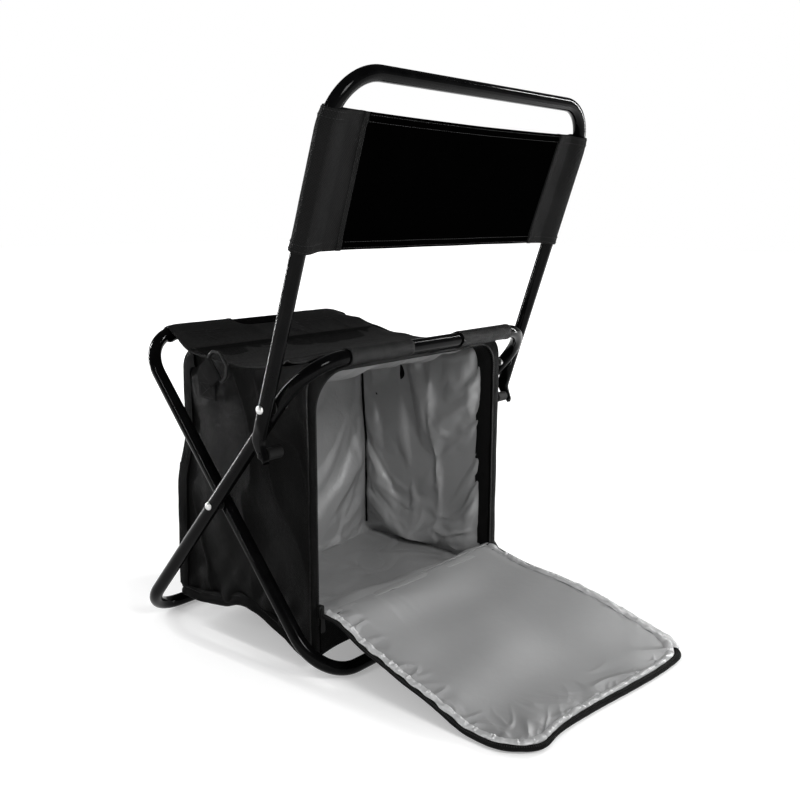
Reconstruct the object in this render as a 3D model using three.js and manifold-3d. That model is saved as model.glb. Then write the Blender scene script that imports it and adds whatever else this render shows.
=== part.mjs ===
// A folding stool with a backrest and a soft cooler bag under its seat.
// Millimetres, +Z up, the sitter faces -Y. Left and right are the sitter's: left is +X.
// The origin is on the floor, under the middle of the front foot bar.
import * as THREE from "three";
import { mergeVertices } from "three/addons/utils/BufferGeometryUtils.js";
import Module from "manifold-3d";

const wasm = await Module();
wasm.setup();

// Clearances
const gap = 0.3; // between pieces that touch
const overrun = 5; // how far a cutting tool passes the face that it cuts

// Steel tube
const tubeDiameter = 16;
const tubeWall = 1;
const bendRadius = 58; // at the tube's centreline
const tubeSides = 12;
const bendSteps = 5;
const seamHalfGap = 0.2; // half the slit where a closed frame's two ends meet
const seamOffset = 90; // the slit's distance from the stool's middle, under a seat tunnel

// Legs: two closed frames that cross like scissors
const legsHalfWidth = 206.5; // outer frame, middle to the side tube's centreline
const footSpread = 153.6; // crossing to each foot bar, front to back
const seatSpread = 157.1; // crossing to each seat bar, front to back
const seatBarHeight = 366; // floor to a seat bar's centreline
const washerThickness = 0.5;
const washerRadius = 8;

// Rivets
const rivetRadius = 3;
const rivetHeadRadius = 5;
const rivetHeadHeight = 3.4;
const rivetTailRadius = 4.6;
const rivetTailHeight = 2;
const rivetSides = 16;
const rivetDomeShare = 0.92; // of the head's radius, halfway up its dome

// Backrest
const backPivotBelowBend = 8; // the leg's upper bend to the backrest's pivot, along the leg
const backHeight = 345.3; // pivot to the top bar's centreline, along the side tube
const backAngle = 71.6; // degrees from the floor
const backTailLength = 57; // pivot to the flattened tail's tip
const backTailShoulder = 28; // pivot to where the tail's cut begins, on the front edge
const backTailBehind = 17; // tip, behind the side tube's centreline
const backTailTip = 5; // size of the tip's bevel
const backTailThickness = 9;
const backTubeEnd = 16; // pivot to where the round tube turns into the flat tail
const stopPinDrop = 50;
const stopPinBehind = 10.5;
const stopPinRadius = 3;
const stopPinHeadRadius = 4.5;
const stopPinHeadHeight = 1.5;
const stopSleeveRadius = 6.5;
const stopSleeveLength = 20;
const panelDrop = 35.3; // top bar's centreline to the fabric's upper edge, along the side tube
const panelHeight = 139; // the fabric's upper edge to its lower one
const panelThickness = 3;
const sleeveThickness = 1.6; // fabric round a tube

// Seat sling
const seatSag = 23;
const seatThickness = 2.4;
const seatSagSteps = 10;
const gripHalfWidth = 46; // bare part of a seat bar
const gripDepth = 13; // how far the sling's edge is cut back there
const seatCornerDepth = 30; // how far its corners are cut back beside the frames' bends

// Cooler bag
const bagSideRoom = 12.55; // a side wall to the inner leg beside it
const bagFront = 117; // crossing to the front face
const bagBack = 127; // crossing to the door face
const bagBottom = 30; // floor to the underside
const bagWall = 5; // fabric and foam
const bagFrontRadius = 24;
const bagBottomRadius = 20;
const liningWall = 0.8;
const boardThickness = 2.5;
const boardMargin = 6;
const bagBackDrop = 11; // seat bar's centreline to the top of the door face
const cornerSteps = 4;

// Door
const doorHinge = 69; // floor to the hinge line
const doorHingeBehind = 3; // hinge line behind the door face
const doorTopDrop = 19; // seat bar's centreline to the closed door's top
const doorSideMargin = 7; // a side wall's outer face to the door's edge
const doorCornerRadius = 62;
const doorThickness = 4.6;
const doorTapeWidth = 5.7;
const doorTapeThickness = 1.6;
const doorOpeningMargin = 5; // the opening is this much smaller than the door
const doorFloorGap = 1;
const archSteps = 6;
const bagTapeWidth = 5.6;
const hingeBeadRadius = 2.4;
const hingeBeadSides = 8;
const bagTapeFoot = 4; // how far the bag's zip tape runs below the hinge line

// Zip slider
const sliderWidth = 9;
const sliderHeight = 17;
const sliderThickness = 5;
const pullWidth = 7;
const pullLength = 27;
const pullThickness = 1.5;
const pullHang = 5; // slider's top to the pull's hinge

// Front pocket and bindings
const pocketSideMargin = 8; // a side wall's outer face to the pocket's edge
const pocketRise = 6; // piping to the pocket's lower edge
const pocketHeight = 122;
const pocketDepth = 7;
const pocketRadius = 22;
const flapHeight = 24;
const flapDepth = 9;
const bindingWidth = 9;
const bindingThickness = 1.2;
const bindingInset = 6;
const pipingRadius = 2.6;
const pipingSides = 8;
const pipingRise = 4; // the front's lower bend to the piping's centreline

// Webbing loops and rings
const loopWidth = 30;
const loopThickness = 1.5;
const loopLength = 44; // stitched end to the ring's bar
const loopAngle = 40; // degrees, upwards to the back
const loopEndForward = 66; // stitched end, in front of the crossing
const loopEndDrop = 59; // left stitched end, below a seat bar's centreline
const loopRightEndDrop = 87; // right stitched end, low enough to stay out of sight
const ringWire = 4;
const ringInnerWidth = 32;
const ringInnerHeight = 17;
const ringSteps = 4;
const ringSides = 8;

// Derived sizes
const degree = Math.PI / 180;
const tubeRadius = tubeDiameter / 2;
const tubeReach = tubeRadius / Math.cos(Math.PI / tubeSides); // centre to a facet's edge
const legRise = seatBarHeight - tubeRadius;
const legAngle = Math.atan2(legRise, footSpread + seatSpread);
const legLean = Math.PI / 2 - legAngle;
const legBelow = footSpread / Math.cos(legAngle);
const legAbove = seatSpread / Math.cos(legAngle);
const crossingHeight = tubeRadius + footSpread * Math.tan(legAngle);
const sideStep = 2 * tubeReach + washerThickness + 2 * gap;
const innerHalfWidth = legsHalfWidth - sideStep;
const backHalfWidth = legsHalfWidth + sideStep;
const backPivotAlong = legAbove - bendRadius - backPivotBelowBend;
const backPivotBehind = backPivotAlong * Math.cos(legAngle);
const backPivotHeight = crossingHeight + backPivotAlong * Math.sin(legAngle);
const backLean = Math.PI / 2 - backAngle * degree;
const panelTop = backHeight - panelDrop;
const panelBottom = panelTop - panelHeight;
const bagHalfWidth = innerHalfWidth - tubeReach - bagSideRoom;
const doorHalfWidth = bagHalfWidth - doorSideMargin;
const doorLength = seatBarHeight - doorTopDrop - doorHinge;
const bagBackTop = seatBarHeight - bagBackDrop;
const sleeveInner = tubeRadius + gap;
const sleeveOuter = sleeveInner + sleeveThickness;
const sleeveReach = sleeveOuter / Math.cos(Math.PI / tubeSides);
const seatHalfSpan = seatSpread - sleeveReach - gap;
const bagTapeInner = doorHalfWidth + 2 * gap;
const bagTapeOuter = bagTapeInner + bagTapeWidth;
const pipingReach = pipingRadius / Math.cos(Math.PI / pipingSides);
const pipingHeight = bagBottom + bagBottomRadius + pipingRise;

const finishes = {
  steel: { color: 0x0c0c0d, roughness: 0.18, metalness: 0.6 },
  rivet: { color: 0xb9bbbd, roughness: 0.25, metalness: 1 },
  fabric: { color: 0x1b1b1c, roughness: 0.95, metalness: 0 },
  lining: { color: 0x9a9c9e, roughness: 0.4, metalness: 0.3 },
  rubber: { color: 0x101010, roughness: 0.7, metalness: 0 },
  plastic: { color: 0x141414, roughness: 0.45, metalness: 0 },
  webbing: { color: 0x1a1a1a, roughness: 0.9, metalness: 0 },
  board: { color: 0x4a4a4a, roughness: 0.8, metalness: 0 },
  zip: { color: 0x161616, roughness: 0.6, metalness: 0 }
};

// A named piece with its own material.
function piece(name, geometry, finish) {
  const mesh = new THREE.Mesh(geometry, new THREE.MeshStandardMaterial(finishes[finish]));
  mesh.name = name;
  return mesh;
}

// The height of the sling's middle surface above the floor, at a distance behind the crossing.
function seatSurface(behind) {
  const share = behind / seatHalfSpan;
  return seatBarHeight - seatSag * (1 - share * share);
}

// A closed geometry as a solid that can be joined and cut.
function solidOf(geometry) {
  const bare = geometry.index ? geometry.toNonIndexed() : geometry.clone();
  bare.deleteAttribute("normal");
  bare.deleteAttribute("uv");
  const merged = mergeVertices(bare);
  return new wasm.Manifold(new wasm.Mesh({
    numProp: 3,
    vertProperties: merged.attributes.position.array,
    triVerts: new Uint32Array(merged.index.array)
  }));
}

function geometryOf(solid) {
  const mesh = solid.getMesh();
  const geometry = new THREE.BufferGeometry();
  geometry.setAttribute("position", new THREE.BufferAttribute(mesh.vertProperties, 3));
  geometry.setIndex(new THREE.BufferAttribute(mesh.triVerts, 1));
  return geometry;
}

function cut(geometry, ...tools) {
  return geometryOf(tools.reduce((left, tool) => left.subtract(solidOf(tool)), solidOf(geometry)));
}

function join(geometry, ...others) {
  return geometryOf(others.reduce((whole, other) => whole.add(solidOf(other)), solidOf(geometry)));
}

// A path that turns only at its own points. Its section's x runs outwards and its y along across.
class PointPath extends THREE.Curve {
  constructor(points, across) {
    super();
    this.points = points;
    this.across = across;
  }

  getSpacedPoints() {
    return this.points;
  }

  // Each section stands on the bisector of its bend, widened so that the straight runs keep their size.
  computeFrenetFrames() {
    const frames = { tangents: [], normals: [], binormals: [] };
    const last = this.points.length - 1;
    this.points.forEach((point, i) => {
      const into = point.clone().sub(this.points[Math.max(i - 1, 0)]).normalize();
      const out = this.points[Math.min(i + 1, last)].clone().sub(point).normalize();
      const tangent = into.clone().add(out).normalize();
      const widening = into.lengthSq() && out.lengthSq() ? 1 / tangent.dot(out) : 1;
      const outward = new THREE.Vector3().crossVectors(this.across, tangent).normalize();
      frames.tangents.push(tangent);
      frames.normals.push(outward.multiplyScalar(widening));
      frames.binormals.push(this.across.clone());
    });
    return frames;
  }
}

// A section swept along points that lie in one plane, square to across.
function sweep(shape, points, across) {
  return new THREE.ExtrudeGeometry(shape, {
    extrudePath: new PointPath(points, across),
    steps: points.length - 1,
    curveSegments: 1
  });
}

// The points of an open line whose inner corners are rounded.
function roundedLine(corners, radius, steps) {
  const points = [corners[0]];
  for (let i = 1; i < corners.length - 1; i++) {
    const toBefore = corners[i - 1].clone().sub(corners[i]).normalize();
    const toAfter = corners[i + 1].clone().sub(corners[i]).normalize();
    const half = toBefore.angleTo(toAfter) / 2;
    const start = corners[i].clone().addScaledVector(toBefore, radius / Math.tan(half));
    const inward = toBefore.clone().add(toAfter).normalize();
    const centre = corners[i].clone().addScaledVector(inward, radius / Math.sin(half));
    const axis = new THREE.Vector3().crossVectors(toAfter, toBefore).normalize();
    for (let k = 0; k <= steps; k++) {
      const turn = (Math.PI - 2 * half) * k / steps;
      const spoke = start.clone().sub(centre).applyAxisAngle(axis, turn);
      points.push(centre.clone().add(spoke));
    }
  }
  points.push(corners[corners.length - 1]);
  return points;
}

// A regular polygon whose flats touch a circle of the given radius, one flat facing phase.
function flatsPoints(radius, sides, phase) {
  const reach = radius / Math.cos(Math.PI / sides);
  const points = [];
  for (let i = 0; i < sides; i++) {
    const angle = phase + (2 * i + 1) * Math.PI / sides;
    points.push(new THREE.Vector2(reach * Math.cos(angle), reach * Math.sin(angle)));
  }
  return points;
}

function ringSection(outerRadius, innerRadius, phase) {
  const shape = new THREE.Shape(flatsPoints(outerRadius, tubeSides, phase));
  shape.holes.push(new THREE.Path(flatsPoints(innerRadius, tubeSides, phase)));
  return shape;
}

function tubeSection(phase) {
  return ringSection(tubeRadius, (tubeRadius - tubeWall) * Math.cos(Math.PI / tubeSides), phase);
}

function rectangle(width, height) {
  const x = width / 2;
  const y = height / 2;
  return new THREE.Shape([
    new THREE.Vector2(-x, -y),
    new THREE.Vector2(x, -y),
    new THREE.Vector2(x, y),
    new THREE.Vector2(-x, y)
  ]);
}

// A cylinder along X, from one x to another.
function crossCylinder(radius, fromX, toX, sides = rivetSides) {
  const geometry = new THREE.CylinderGeometry(radius, radius, toX - fromX, sides);
  geometry.rotateZ(Math.PI / 2);
  geometry.translate((fromX + toX) / 2, 0, 0);
  return geometry;
}

// A box given by its lowest and highest corners.
function block(low, high) {
  const size = high.map((value, i) => value - low[i]);
  const geometry = new THREE.BoxGeometry(...size);
  geometry.translate(...high.map((value, i) => (value + low[i]) / 2));
  return geometry;
}

// An outline in the plane of Y and Z, given as [y, z] pairs, made solid between two x places.
function sidePrism(outline, fromX, toX) {
  const shape = new THREE.Shape(outline.map(([y, z]) => new THREE.Vector2(y, z)));
  const geometry = new THREE.ExtrudeGeometry(shape, { depth: toX - fromX, bevelEnabled: false });
  geometry.rotateY(Math.PI / 2);
  geometry.rotateX(Math.PI / 2);
  geometry.translate(fromX, 0, 0);
  return geometry;
}

// An outline in the plane of X and Z, given as [x, z] pairs, made solid between two y places.
function facePrism(outline, fromY, toY) {
  const shape = new THREE.Shape(outline.map(([x, z]) => new THREE.Vector2(x, z)));
  const geometry = new THREE.ExtrudeGeometry(shape, { depth: toY - fromY, bevelEnabled: false });
  geometry.rotateX(Math.PI / 2);
  geometry.translate(0, toY, 0);
  return geometry;
}

// An outline in the plane of X and Y, given as [x, y] pairs, made solid between two heights.
function upPrism(outline, fromZ, toZ) {
  const shape = new THREE.Shape(outline.map(([x, y]) => new THREE.Vector2(x, y)));
  const geometry = new THREE.ExtrudeGeometry(shape, { depth: toZ - fromZ, bevelEnabled: false });
  geometry.translate(0, 0, fromZ);
  return geometry;
}

// Points of a quarter circle, from one angle in steps of the same turn.
function quarter(centreA, centreB, radius, startAngle, steps) {
  const points = [];
  for (let i = 0; i <= steps; i++) {
    const angle = startAngle + Math.PI / 2 * i / steps;
    points.push([centreA + radius * Math.cos(angle), centreB + radius * Math.sin(angle)]);
  }
  return points;
}

// A door outline with square feet and two round upper corners.
function archOutline(halfWidth, foot, top, radius, steps) {
  return [
    [-halfWidth, foot],
    [halfWidth, foot],
    ...quarter(halfWidth - radius, top - radius, radius, 0, steps),
    ...quarter(radius - halfWidth, top - radius, radius, Math.PI / 2, steps)
  ];
}

function roundedOutline(halfWidth, bottom, top, radius, steps) {
  return [
    ...quarter(radius - halfWidth, bottom + radius, radius, Math.PI, steps),
    ...quarter(halfWidth - radius, bottom + radius, radius, 1.5 * Math.PI, steps),
    ...quarter(halfWidth - radius, top - radius, radius, 0, steps),
    ...quarter(radius - halfWidth, top - radius, radius, Math.PI / 2, steps)
  ];
}

// Frames

// One closed leg frame in its own plane, the crossing at the origin and up along Z.
function legLoop(halfWidth, phase) {
  const at = (x, z) => new THREE.Vector3(x, 0, z);
  const corners = [
    at(seamOffset - seamHalfGap, legAbove),
    at(-halfWidth, legAbove),
    at(-halfWidth, -legBelow),
    at(halfWidth, -legBelow),
    at(halfWidth, legAbove),
    at(seamOffset + seamHalfGap, legAbove)
  ];
  const points = roundedLine(corners, bendRadius, bendSteps);
  return sweep(tubeSection(phase), points, new THREE.Vector3(0, 1, 0));
}

// A hole through a frame's side tubes, for the rivets at a height along them.
function rivetHole(reach, along) {
  const tool = crossCylinder(rivetRadius + gap, -reach, reach);
  tool.translate(0, 0, along);
  return tool;
}

function outerLegFrame() {
  const reach = legsHalfWidth + tubeReach + overrun;
  const loop = legLoop(legsHalfWidth, legLean);
  const holes = [rivetHole(reach, 0), rivetHole(reach, backPivotAlong)];
  return piece("outer_leg_frame", cut(loop, ...holes), "steel");
}

function innerLegFrame() {
  const reach = innerHalfWidth + tubeReach + overrun;
  const loop = legLoop(innerHalfWidth, -legLean);
  return piece("inner_leg_frame", cut(loop, rivetHole(reach, 0)), "steel");
}

// The flat tail below the backrest's pivot: a curved cut from its front edge to a tip that leans back.
function backTail(side) {
  const top = tubeRadius - backTubeEnd;
  const width = backTailBehind - backTailTip + tubeRadius;
  const drop = backTailLength - backTailShoulder;
  const outline = [[-tubeRadius, top]];
  for (let i = 0; i <= cornerSteps; i++) {
    const turn = Math.PI / 2 * i / cornerSteps;
    outline.push([
      width * (1 - Math.cos(turn)) - tubeRadius,
      -backTailShoulder - drop * Math.sin(turn)
    ]);
  }
  outline.push([backTailBehind, backTailTip - backTailLength]);
  outline.push([tubeRadius, -backTailShoulder]);
  outline.push([tubeRadius, top]);
  const middle = side * backHalfWidth;
  return sidePrism(outline, middle - backTailThickness / 2, middle + backTailThickness / 2);
}

function backrestFrame() {
  const at = (x, z) => new THREE.Vector3(x, 0, z);
  const corners = [
    at(-backHalfWidth, -backTubeEnd),
    at(-backHalfWidth, backHeight),
    at(backHalfWidth, backHeight),
    at(backHalfWidth, -backTubeEnd)
  ];
  const points = roundedLine(corners.reverse(), bendRadius, bendSteps);
  const tube = sweep(tubeSection(0), points, new THREE.Vector3(0, 1, 0));
  const reach = backHalfWidth + tubeReach + overrun;
  const pinHole = crossCylinder(stopPinRadius + gap, -reach, reach);
  pinHole.translate(0, stopPinBehind, -stopPinDrop);
  const solid = join(tube, backTail(1), backTail(-1));
  return piece("backrest_frame", cut(solid, rivetHole(reach, 0), pinHole), "steel");
}

// Rivets, washers and stops

// A body turned round X: pairs of x and radius, from the inner end to the outer.
function turned(profile, sides) {
  const points = profile.map(([x, radius]) => new THREE.Vector2(radius, x));
  const geometry = new THREE.LatheGeometry(points, sides);
  geometry.rotateZ(-Math.PI / 2);
  return geometry;
}

// A rivet with a domed head outside and a rolled tail inside.
function rivet(name, innerFace, outerFace) {
  const tail = innerFace - gap;
  const head = outerFace + gap;
  const profile = [
    [tail - rivetTailHeight, 0],
    [tail - rivetTailHeight, rivetTailRadius - rivetTailHeight / 2],
    [tail - rivetTailHeight / 2, rivetTailRadius],
    [tail, rivetTailRadius],
    [tail, rivetRadius],
    [head, rivetRadius],
    [head, rivetHeadRadius],
    [head + rivetHeadHeight / 2, rivetHeadRadius * rivetDomeShare],
    [head + rivetHeadHeight, rivetHeadRadius / 2],
    [head + rivetHeadHeight, 0]
  ];
  return piece(name, turned(profile, rivetSides), "rivet");
}

function washer(name, between) {
  const profile = [
    [between - washerThickness / 2, rivetRadius + gap],
    [between - washerThickness / 2, washerRadius],
    [between + washerThickness / 2, washerRadius],
    [between + washerThickness / 2, rivetRadius + gap],
    [between - washerThickness / 2, rivetRadius + gap]
  ];
  return piece(name, turned(profile, rivetSides), "plastic");
}

// The same pieces on both sides: the right one is the left one turned half round.
function onBothSides(build) {
  const pair = new THREE.Group();
  for (const side of ["left", "right"]) {
    const half = new THREE.Group();
    half.add(...build(side));
    half.rotation.z = side === "left" ? 0 : Math.PI;
    pair.add(half);
  }
  return pair;
}

function legPivots() {
  return onBothSides((side) => [
    rivet("leg_rivet_" + side, innerHalfWidth - tubeReach, legsHalfWidth + tubeReach),
    washer("leg_washer_" + side, (innerHalfWidth + legsHalfWidth) / 2)
  ]);
}

function backPivots() {
  return onBothSides((side) => [
    rivet("backrest_rivet_" + side, legsHalfWidth - tubeReach, backHalfWidth + tubeReach),
    washer("backrest_washer_" + side, (legsHalfWidth + backHalfWidth) / 2)
  ]);
}

// A pin across the tail and the rubber sleeve on its inner end, which meets the outer leg from below.
function stops() {
  const pair = new THREE.Group();
  for (const [side, sign] of [["left", 1], ["right", -1]]) {
    const outer = backHalfWidth + backTailThickness / 2 + gap;
    const sleeveEnd = backHalfWidth - backTailThickness / 2 - gap;
    const inner = sleeveEnd - stopSleeveLength;
    const pin = turned([
      [inner, 0],
      [inner, stopPinRadius],
      [outer, stopPinRadius],
      [outer, stopPinHeadRadius],
      [outer + stopPinHeadHeight, stopPinHeadRadius],
      [outer + stopPinHeadHeight, 0]
    ], rivetSides);
    const sleeve = turned([
      [inner, stopPinRadius + gap],
      [inner, stopSleeveRadius],
      [sleeveEnd, stopSleeveRadius],
      [sleeveEnd, stopPinRadius + gap],
      [inner, stopPinRadius + gap]
    ], rivetSides);
    const stop = new THREE.Group();
    stop.add(piece("stop_pin_" + side, pin, "rivet"));
    stop.add(piece("stop_sleeve_" + side, sleeve, "rubber"));
    stop.position.set(0, sign * stopPinBehind, -stopPinDrop);
    const half = new THREE.Group();
    half.add(stop);
    half.rotation.z = sign > 0 ? 0 : Math.PI;
    pair.add(half);
  }
  return pair;
}

// Fabric on the backrest

// An eight-sided outline, wider along X than along Y, its corners cut by half its depth.
function pocketOutline(fromX, toX, halfDepth) {
  const corner = halfDepth / 2;
  return [
    [fromX, -corner],
    [fromX + corner, -halfDepth],
    [toX - corner, -halfDepth],
    [toX, -corner],
    [toX, corner],
    [toX - corner, halfDepth],
    [fromX + corner, halfDepth],
    [fromX, corner]
  ];
}

// One panel with a wide pocket at each side, in which the tube begins its bend.
function backrestPanel() {
  const intoBend = Math.max(panelTop - (backHeight - bendRadius), 0);
  const bendInside = bendRadius - tubeReach;
  const tubeInside = Math.sqrt(Math.max(bendInside * bendInside - intoBend * intoBend, 0));
  const room = tubeReach + 2 * gap;
  const inner = backHalfWidth - bendRadius + tubeInside - 2 * gap;
  const outer = backHalfWidth + room;
  const skin = sleeveThickness;
  const half = panelThickness / 2;
  const middle = block([-inner, -half, panelBottom], [inner, half, panelTop]);
  const pockets = [];
  const bores = [];
  for (const side of [1, -1]) {
    const [near, far] = [side * inner, side * outer].sort((a, b) => a - b);
    const cover = pocketOutline(near - skin, far + skin, room + skin);
    const bore = pocketOutline(near, far, room);
    pockets.push(upPrism(cover, panelBottom, panelTop));
    bores.push(upPrism(bore, panelBottom - overrun, panelTop + overrun));
  }
  return piece("backrest_panel", cut(join(middle, ...pockets), ...bores), "fabric");
}

// Seat sling

// A fabric tunnel round one half of a seat bar, in its leg frame's own plane.
function seatTunnel(name, side, halfWidth, phase) {
  const near = gripHalfWidth;
  const far = halfWidth - bendRadius - gap;
  const [low, high] = side > 0 ? [near, far] : [-far, -near];
  const ends = [new THREE.Vector3(high, 0, legAbove), new THREE.Vector3(low, 0, legAbove)];
  const section = ringSection(sleeveOuter, sleeveInner, phase);
  return piece(name, sweep(section, ends, new THREE.Vector3(0, 1, 0)), "fabric");
}

// The cloth between the two bars: it sags between them, and is cut back at the bare grips.
function seatPanel() {
  const upper = [];
  const lower = [];
  for (let i = 0; i <= seatSagSteps; i++) {
    const behind = seatHalfSpan * (2 * i / seatSagSteps - 1);
    upper.push([behind, seatSurface(behind) + seatThickness / 2]);
    lower.push([behind, seatSurface(behind) - seatThickness / 2]);
  }
  const cloth = sidePrism([...lower, ...upper.reverse()], -bagHalfWidth, bagHalfWidth);
  const cuts = [];
  for (const [end, frameHalfWidth] of [[-1, innerHalfWidth], [1, legsHalfWidth]]) {
    const edge = end * (seatHalfSpan + overrun);
    const grip = end * (seatHalfSpan - gripDepth);
    cuts.push([
      [-gripHalfWidth, edge],
      [gripHalfWidth, edge],
      [gripHalfWidth - gripDepth, grip],
      [gripDepth - gripHalfWidth, grip]
    ]);
    const straight = frameHalfWidth - bendRadius;
    const beside = bagHalfWidth + overrun;
    const corner = end * (seatHalfSpan - seatCornerDepth);
    for (const side of [1, -1]) {
      cuts.push([[side * straight, edge], [side * beside, edge], [side * beside, corner]]);
    }
  }
  const low = seatBarHeight - 2 * seatSag;
  const tools = cuts.map((outline) => upPrism(outline, low, seatBarHeight + seatSag));
  return piece("seat_panel", cut(cloth, ...tools), "fabric");
}

// Cooler bag

const wallInner = bagHalfWidth - bagWall; // a side wall's inner face
const arcForward = bagFront - bagFrontRadius; // centre of the front's upper bend
const frontTop = seatSurface(arcForward) - seatThickness / 2 - 2 * gap;
const lidTop = seatSurface(0) - seatThickness / 2 - 2 * gap;
const lidBottom = lidTop - bagWall;
const wallBack = bagBack - bagWall - gap; // where the side walls meet the door face's panel
const baseForward = bagFront - bagBottomRadius;

// The front wall's outline, drawn in from the bag's outer face: from underneath, up, and back over.
function frontLine(inset) {
  const lowCentre = bagBottom + bagBottomRadius;
  const highCentre = frontTop - bagFrontRadius;
  const lower = quarter(-baseForward, lowCentre, bagBottomRadius - inset, Math.PI, cornerSteps);
  const upper = quarter(-arcForward, highCentre, bagFrontRadius - inset, Math.PI / 2, cornerSteps);
  return [...lower.reverse(), ...upper.reverse()];
}

// A side wall whose upper edge follows the underside of the sagging seat.
function bagSide(name, side) {
  const top = [];
  for (let i = 1; i <= seatSagSteps; i++) {
    const behind = -arcForward + (wallBack + arcForward) * i / seatSagSteps;
    top.push([behind, seatSurface(behind) - seatThickness / 2 - 2 * gap]);
  }
  const outline = [...frontLine(0), ...top, [wallBack, bagBottom]];
  const [low, high] = side > 0 ? [wallInner, bagHalfWidth] : [-bagHalfWidth, -wallInner];
  return piece(name, sidePrism(outline, low, high), "fabric");
}

// The front wall, bent under at the bottom and back at the top.
function bagFrontPanel() {
  const outline = [...frontLine(0), ...frontLine(bagWall).reverse()];
  const half = wallInner - gap;
  return piece("bag_front_panel", sidePrism(outline, -half, half), "fabric");
}

function bagBackPanel() {
  const outline = archOutline(bagHalfWidth, bagBottom, bagBackTop, bagBottomRadius, cornerSteps);
  const hole = archOutline(
    doorHalfWidth - doorOpeningMargin,
    doorHinge + gap,
    doorHinge + doorLength - doorOpeningMargin,
    doorCornerRadius - doorOpeningMargin,
    archSteps
  );
  const panel = facePrism(outline, bagBack - bagWall, bagBack);
  const opening = facePrism(hole, bagBack - bagWall - overrun, bagBack + overrun);
  return piece("bag_back_panel", cut(panel, opening), "fabric");
}

function bagLid() {
  const half = wallInner - gap;
  const panel = block([-half, -arcForward, lidBottom], [half, wallBack, lidTop]);
  return piece("bag_top_panel", panel, "fabric");
}

function bagBase() {
  const half = wallInner - gap;
  const low = [-half, gap - baseForward, bagBottom];
  const high = [half, wallBack, bagBottom + bagWall];
  return piece("bag_base_panel", block(low, high), "fabric");
}

const boardBottom = bagBottom + bagWall + gap;
const liningBottom = boardBottom + boardThickness + gap;

function baseBoard() {
  const half = wallInner - boardMargin;
  const low = [-half, boardMargin - baseForward, boardBottom];
  const high = [half, wallBack - boardMargin, boardBottom + boardThickness];
  return piece("base_board", block(low, high), "board");
}

// The shiny insulated liner: a box with rounded front edges, open at the door.
function bagLining() {
  const outline = (inset, back) => {
    const front = bagWall + gap - bagFront + inset;
    const low = liningBottom + inset;
    const high = lidBottom - gap - inset;
    const lowRadius = bagBottomRadius - bagWall - inset;
    const highRadius = bagFrontRadius - bagWall - inset;
    return [
      [back, low],
      [back, high],
      ...quarter(front + highRadius, high - highRadius, highRadius, Math.PI / 2, cornerSteps),
      ...quarter(front + lowRadius, low + lowRadius, lowRadius, Math.PI, cornerSteps)
    ];
  };
  const half = wallInner - gap;
  const room = half - liningWall;
  const outside = sidePrism(outline(0, wallBack), -half, half);
  const inside = sidePrism(outline(liningWall, wallBack + overrun), -room, room);
  return piece("bag_lining", cut(outside, inside), "lining");
}

function frontPocket() {
  const face = -bagFront - gap;
  const half = bagHalfWidth - pocketSideMargin;
  const low = pipingHeight + pocketRise;
  const top = low + pocketHeight;
  const bag = roundedOutline(half, low, top, pocketRadius, cornerSteps);
  const flap = roundedOutline(half, top + gap, top + gap + flapHeight, flapDepth, cornerSteps);
  return [
    piece("front_pocket", facePrism(bag, face - pocketDepth, face), "fabric"),
    piece("front_pocket_flap", facePrism(flap, face - flapDepth, face), "fabric")
  ];
}

// The bound seam down the front edge of a side wall.
function edgeBinding(name, side) {
  const x = side * (bagHalfWidth + gap + bindingThickness / 2);
  const at = (y, z) => new THREE.Vector3(x, y, z);
  const front = bindingInset - bagFront;
  const top = frontTop - bindingInset;
  const corners = [
    at(front, pipingHeight + pipingReach + gap),
    at(front, top),
    at(bindingWidth - arcForward, top)
  ];
  const line = roundedLine(corners, bagFrontRadius - bindingInset, cornerSteps);
  const section = rectangle(bindingWidth, bindingThickness);
  return piece(name, sweep(section, line, new THREE.Vector3(1, 0, 0)), "webbing");
}

// The piping sewn round the foot of the bag, its ends meeting behind.
function bottomPiping() {
  const away = pipingReach + gap;
  const x = bagHalfWidth + away;
  const front = -bagFront - away;
  const back = bagBack + away;
  const at = (px, py) => new THREE.Vector3(px, py, pipingHeight);
  const corners = [
    at(seamHalfGap, back),
    at(x, back),
    at(x, front),
    at(-x, front),
    at(-x, back),
    at(-seamHalfGap, back)
  ];
  const line = roundedLine(corners, away, cornerSteps);
  const section = new THREE.Shape(flatsPoints(pipingRadius, pipingSides, 0));
  return piece("bottom_piping", sweep(section, line, new THREE.Vector3(0, 0, 1)), "webbing");
}

// Door

// A band along an arch: up one side, over the top and down the other.
function archBand(outerHalf, top, radius, width, foot, steps) {
  const line = (inset) => {
    const arch = archOutline(outerHalf - inset, foot, top - inset, radius - inset, steps);
    return [...arch.slice(1), arch[0]];
  };
  return [...line(0), ...line(width).reverse()];
}

// The bead along which the door folds down, and the bag's half of the zip.
function bagDoorEdge() {
  const half = doorHalfWidth - doorTapeWidth;
  const bead = crossCylinder(hingeBeadRadius, -half, half, hingeBeadSides);
  bead.translate(0, bagBack + doorHingeBehind, doorHinge);
  const wider = bagTapeOuter - doorHalfWidth;
  const band = archBand(
    bagTapeOuter,
    doorHinge + doorLength + wider,
    doorCornerRadius + wider,
    bagTapeWidth,
    doorHinge - bagTapeFoot,
    archSteps
  );
  const face = bagBack + gap;
  return [
    piece("door_hinge_bead", bead, "fabric"),
    piece("bag_zip_tape", facePrism(band, face, face + doorTapeThickness), "zip")
  ];
}

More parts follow.
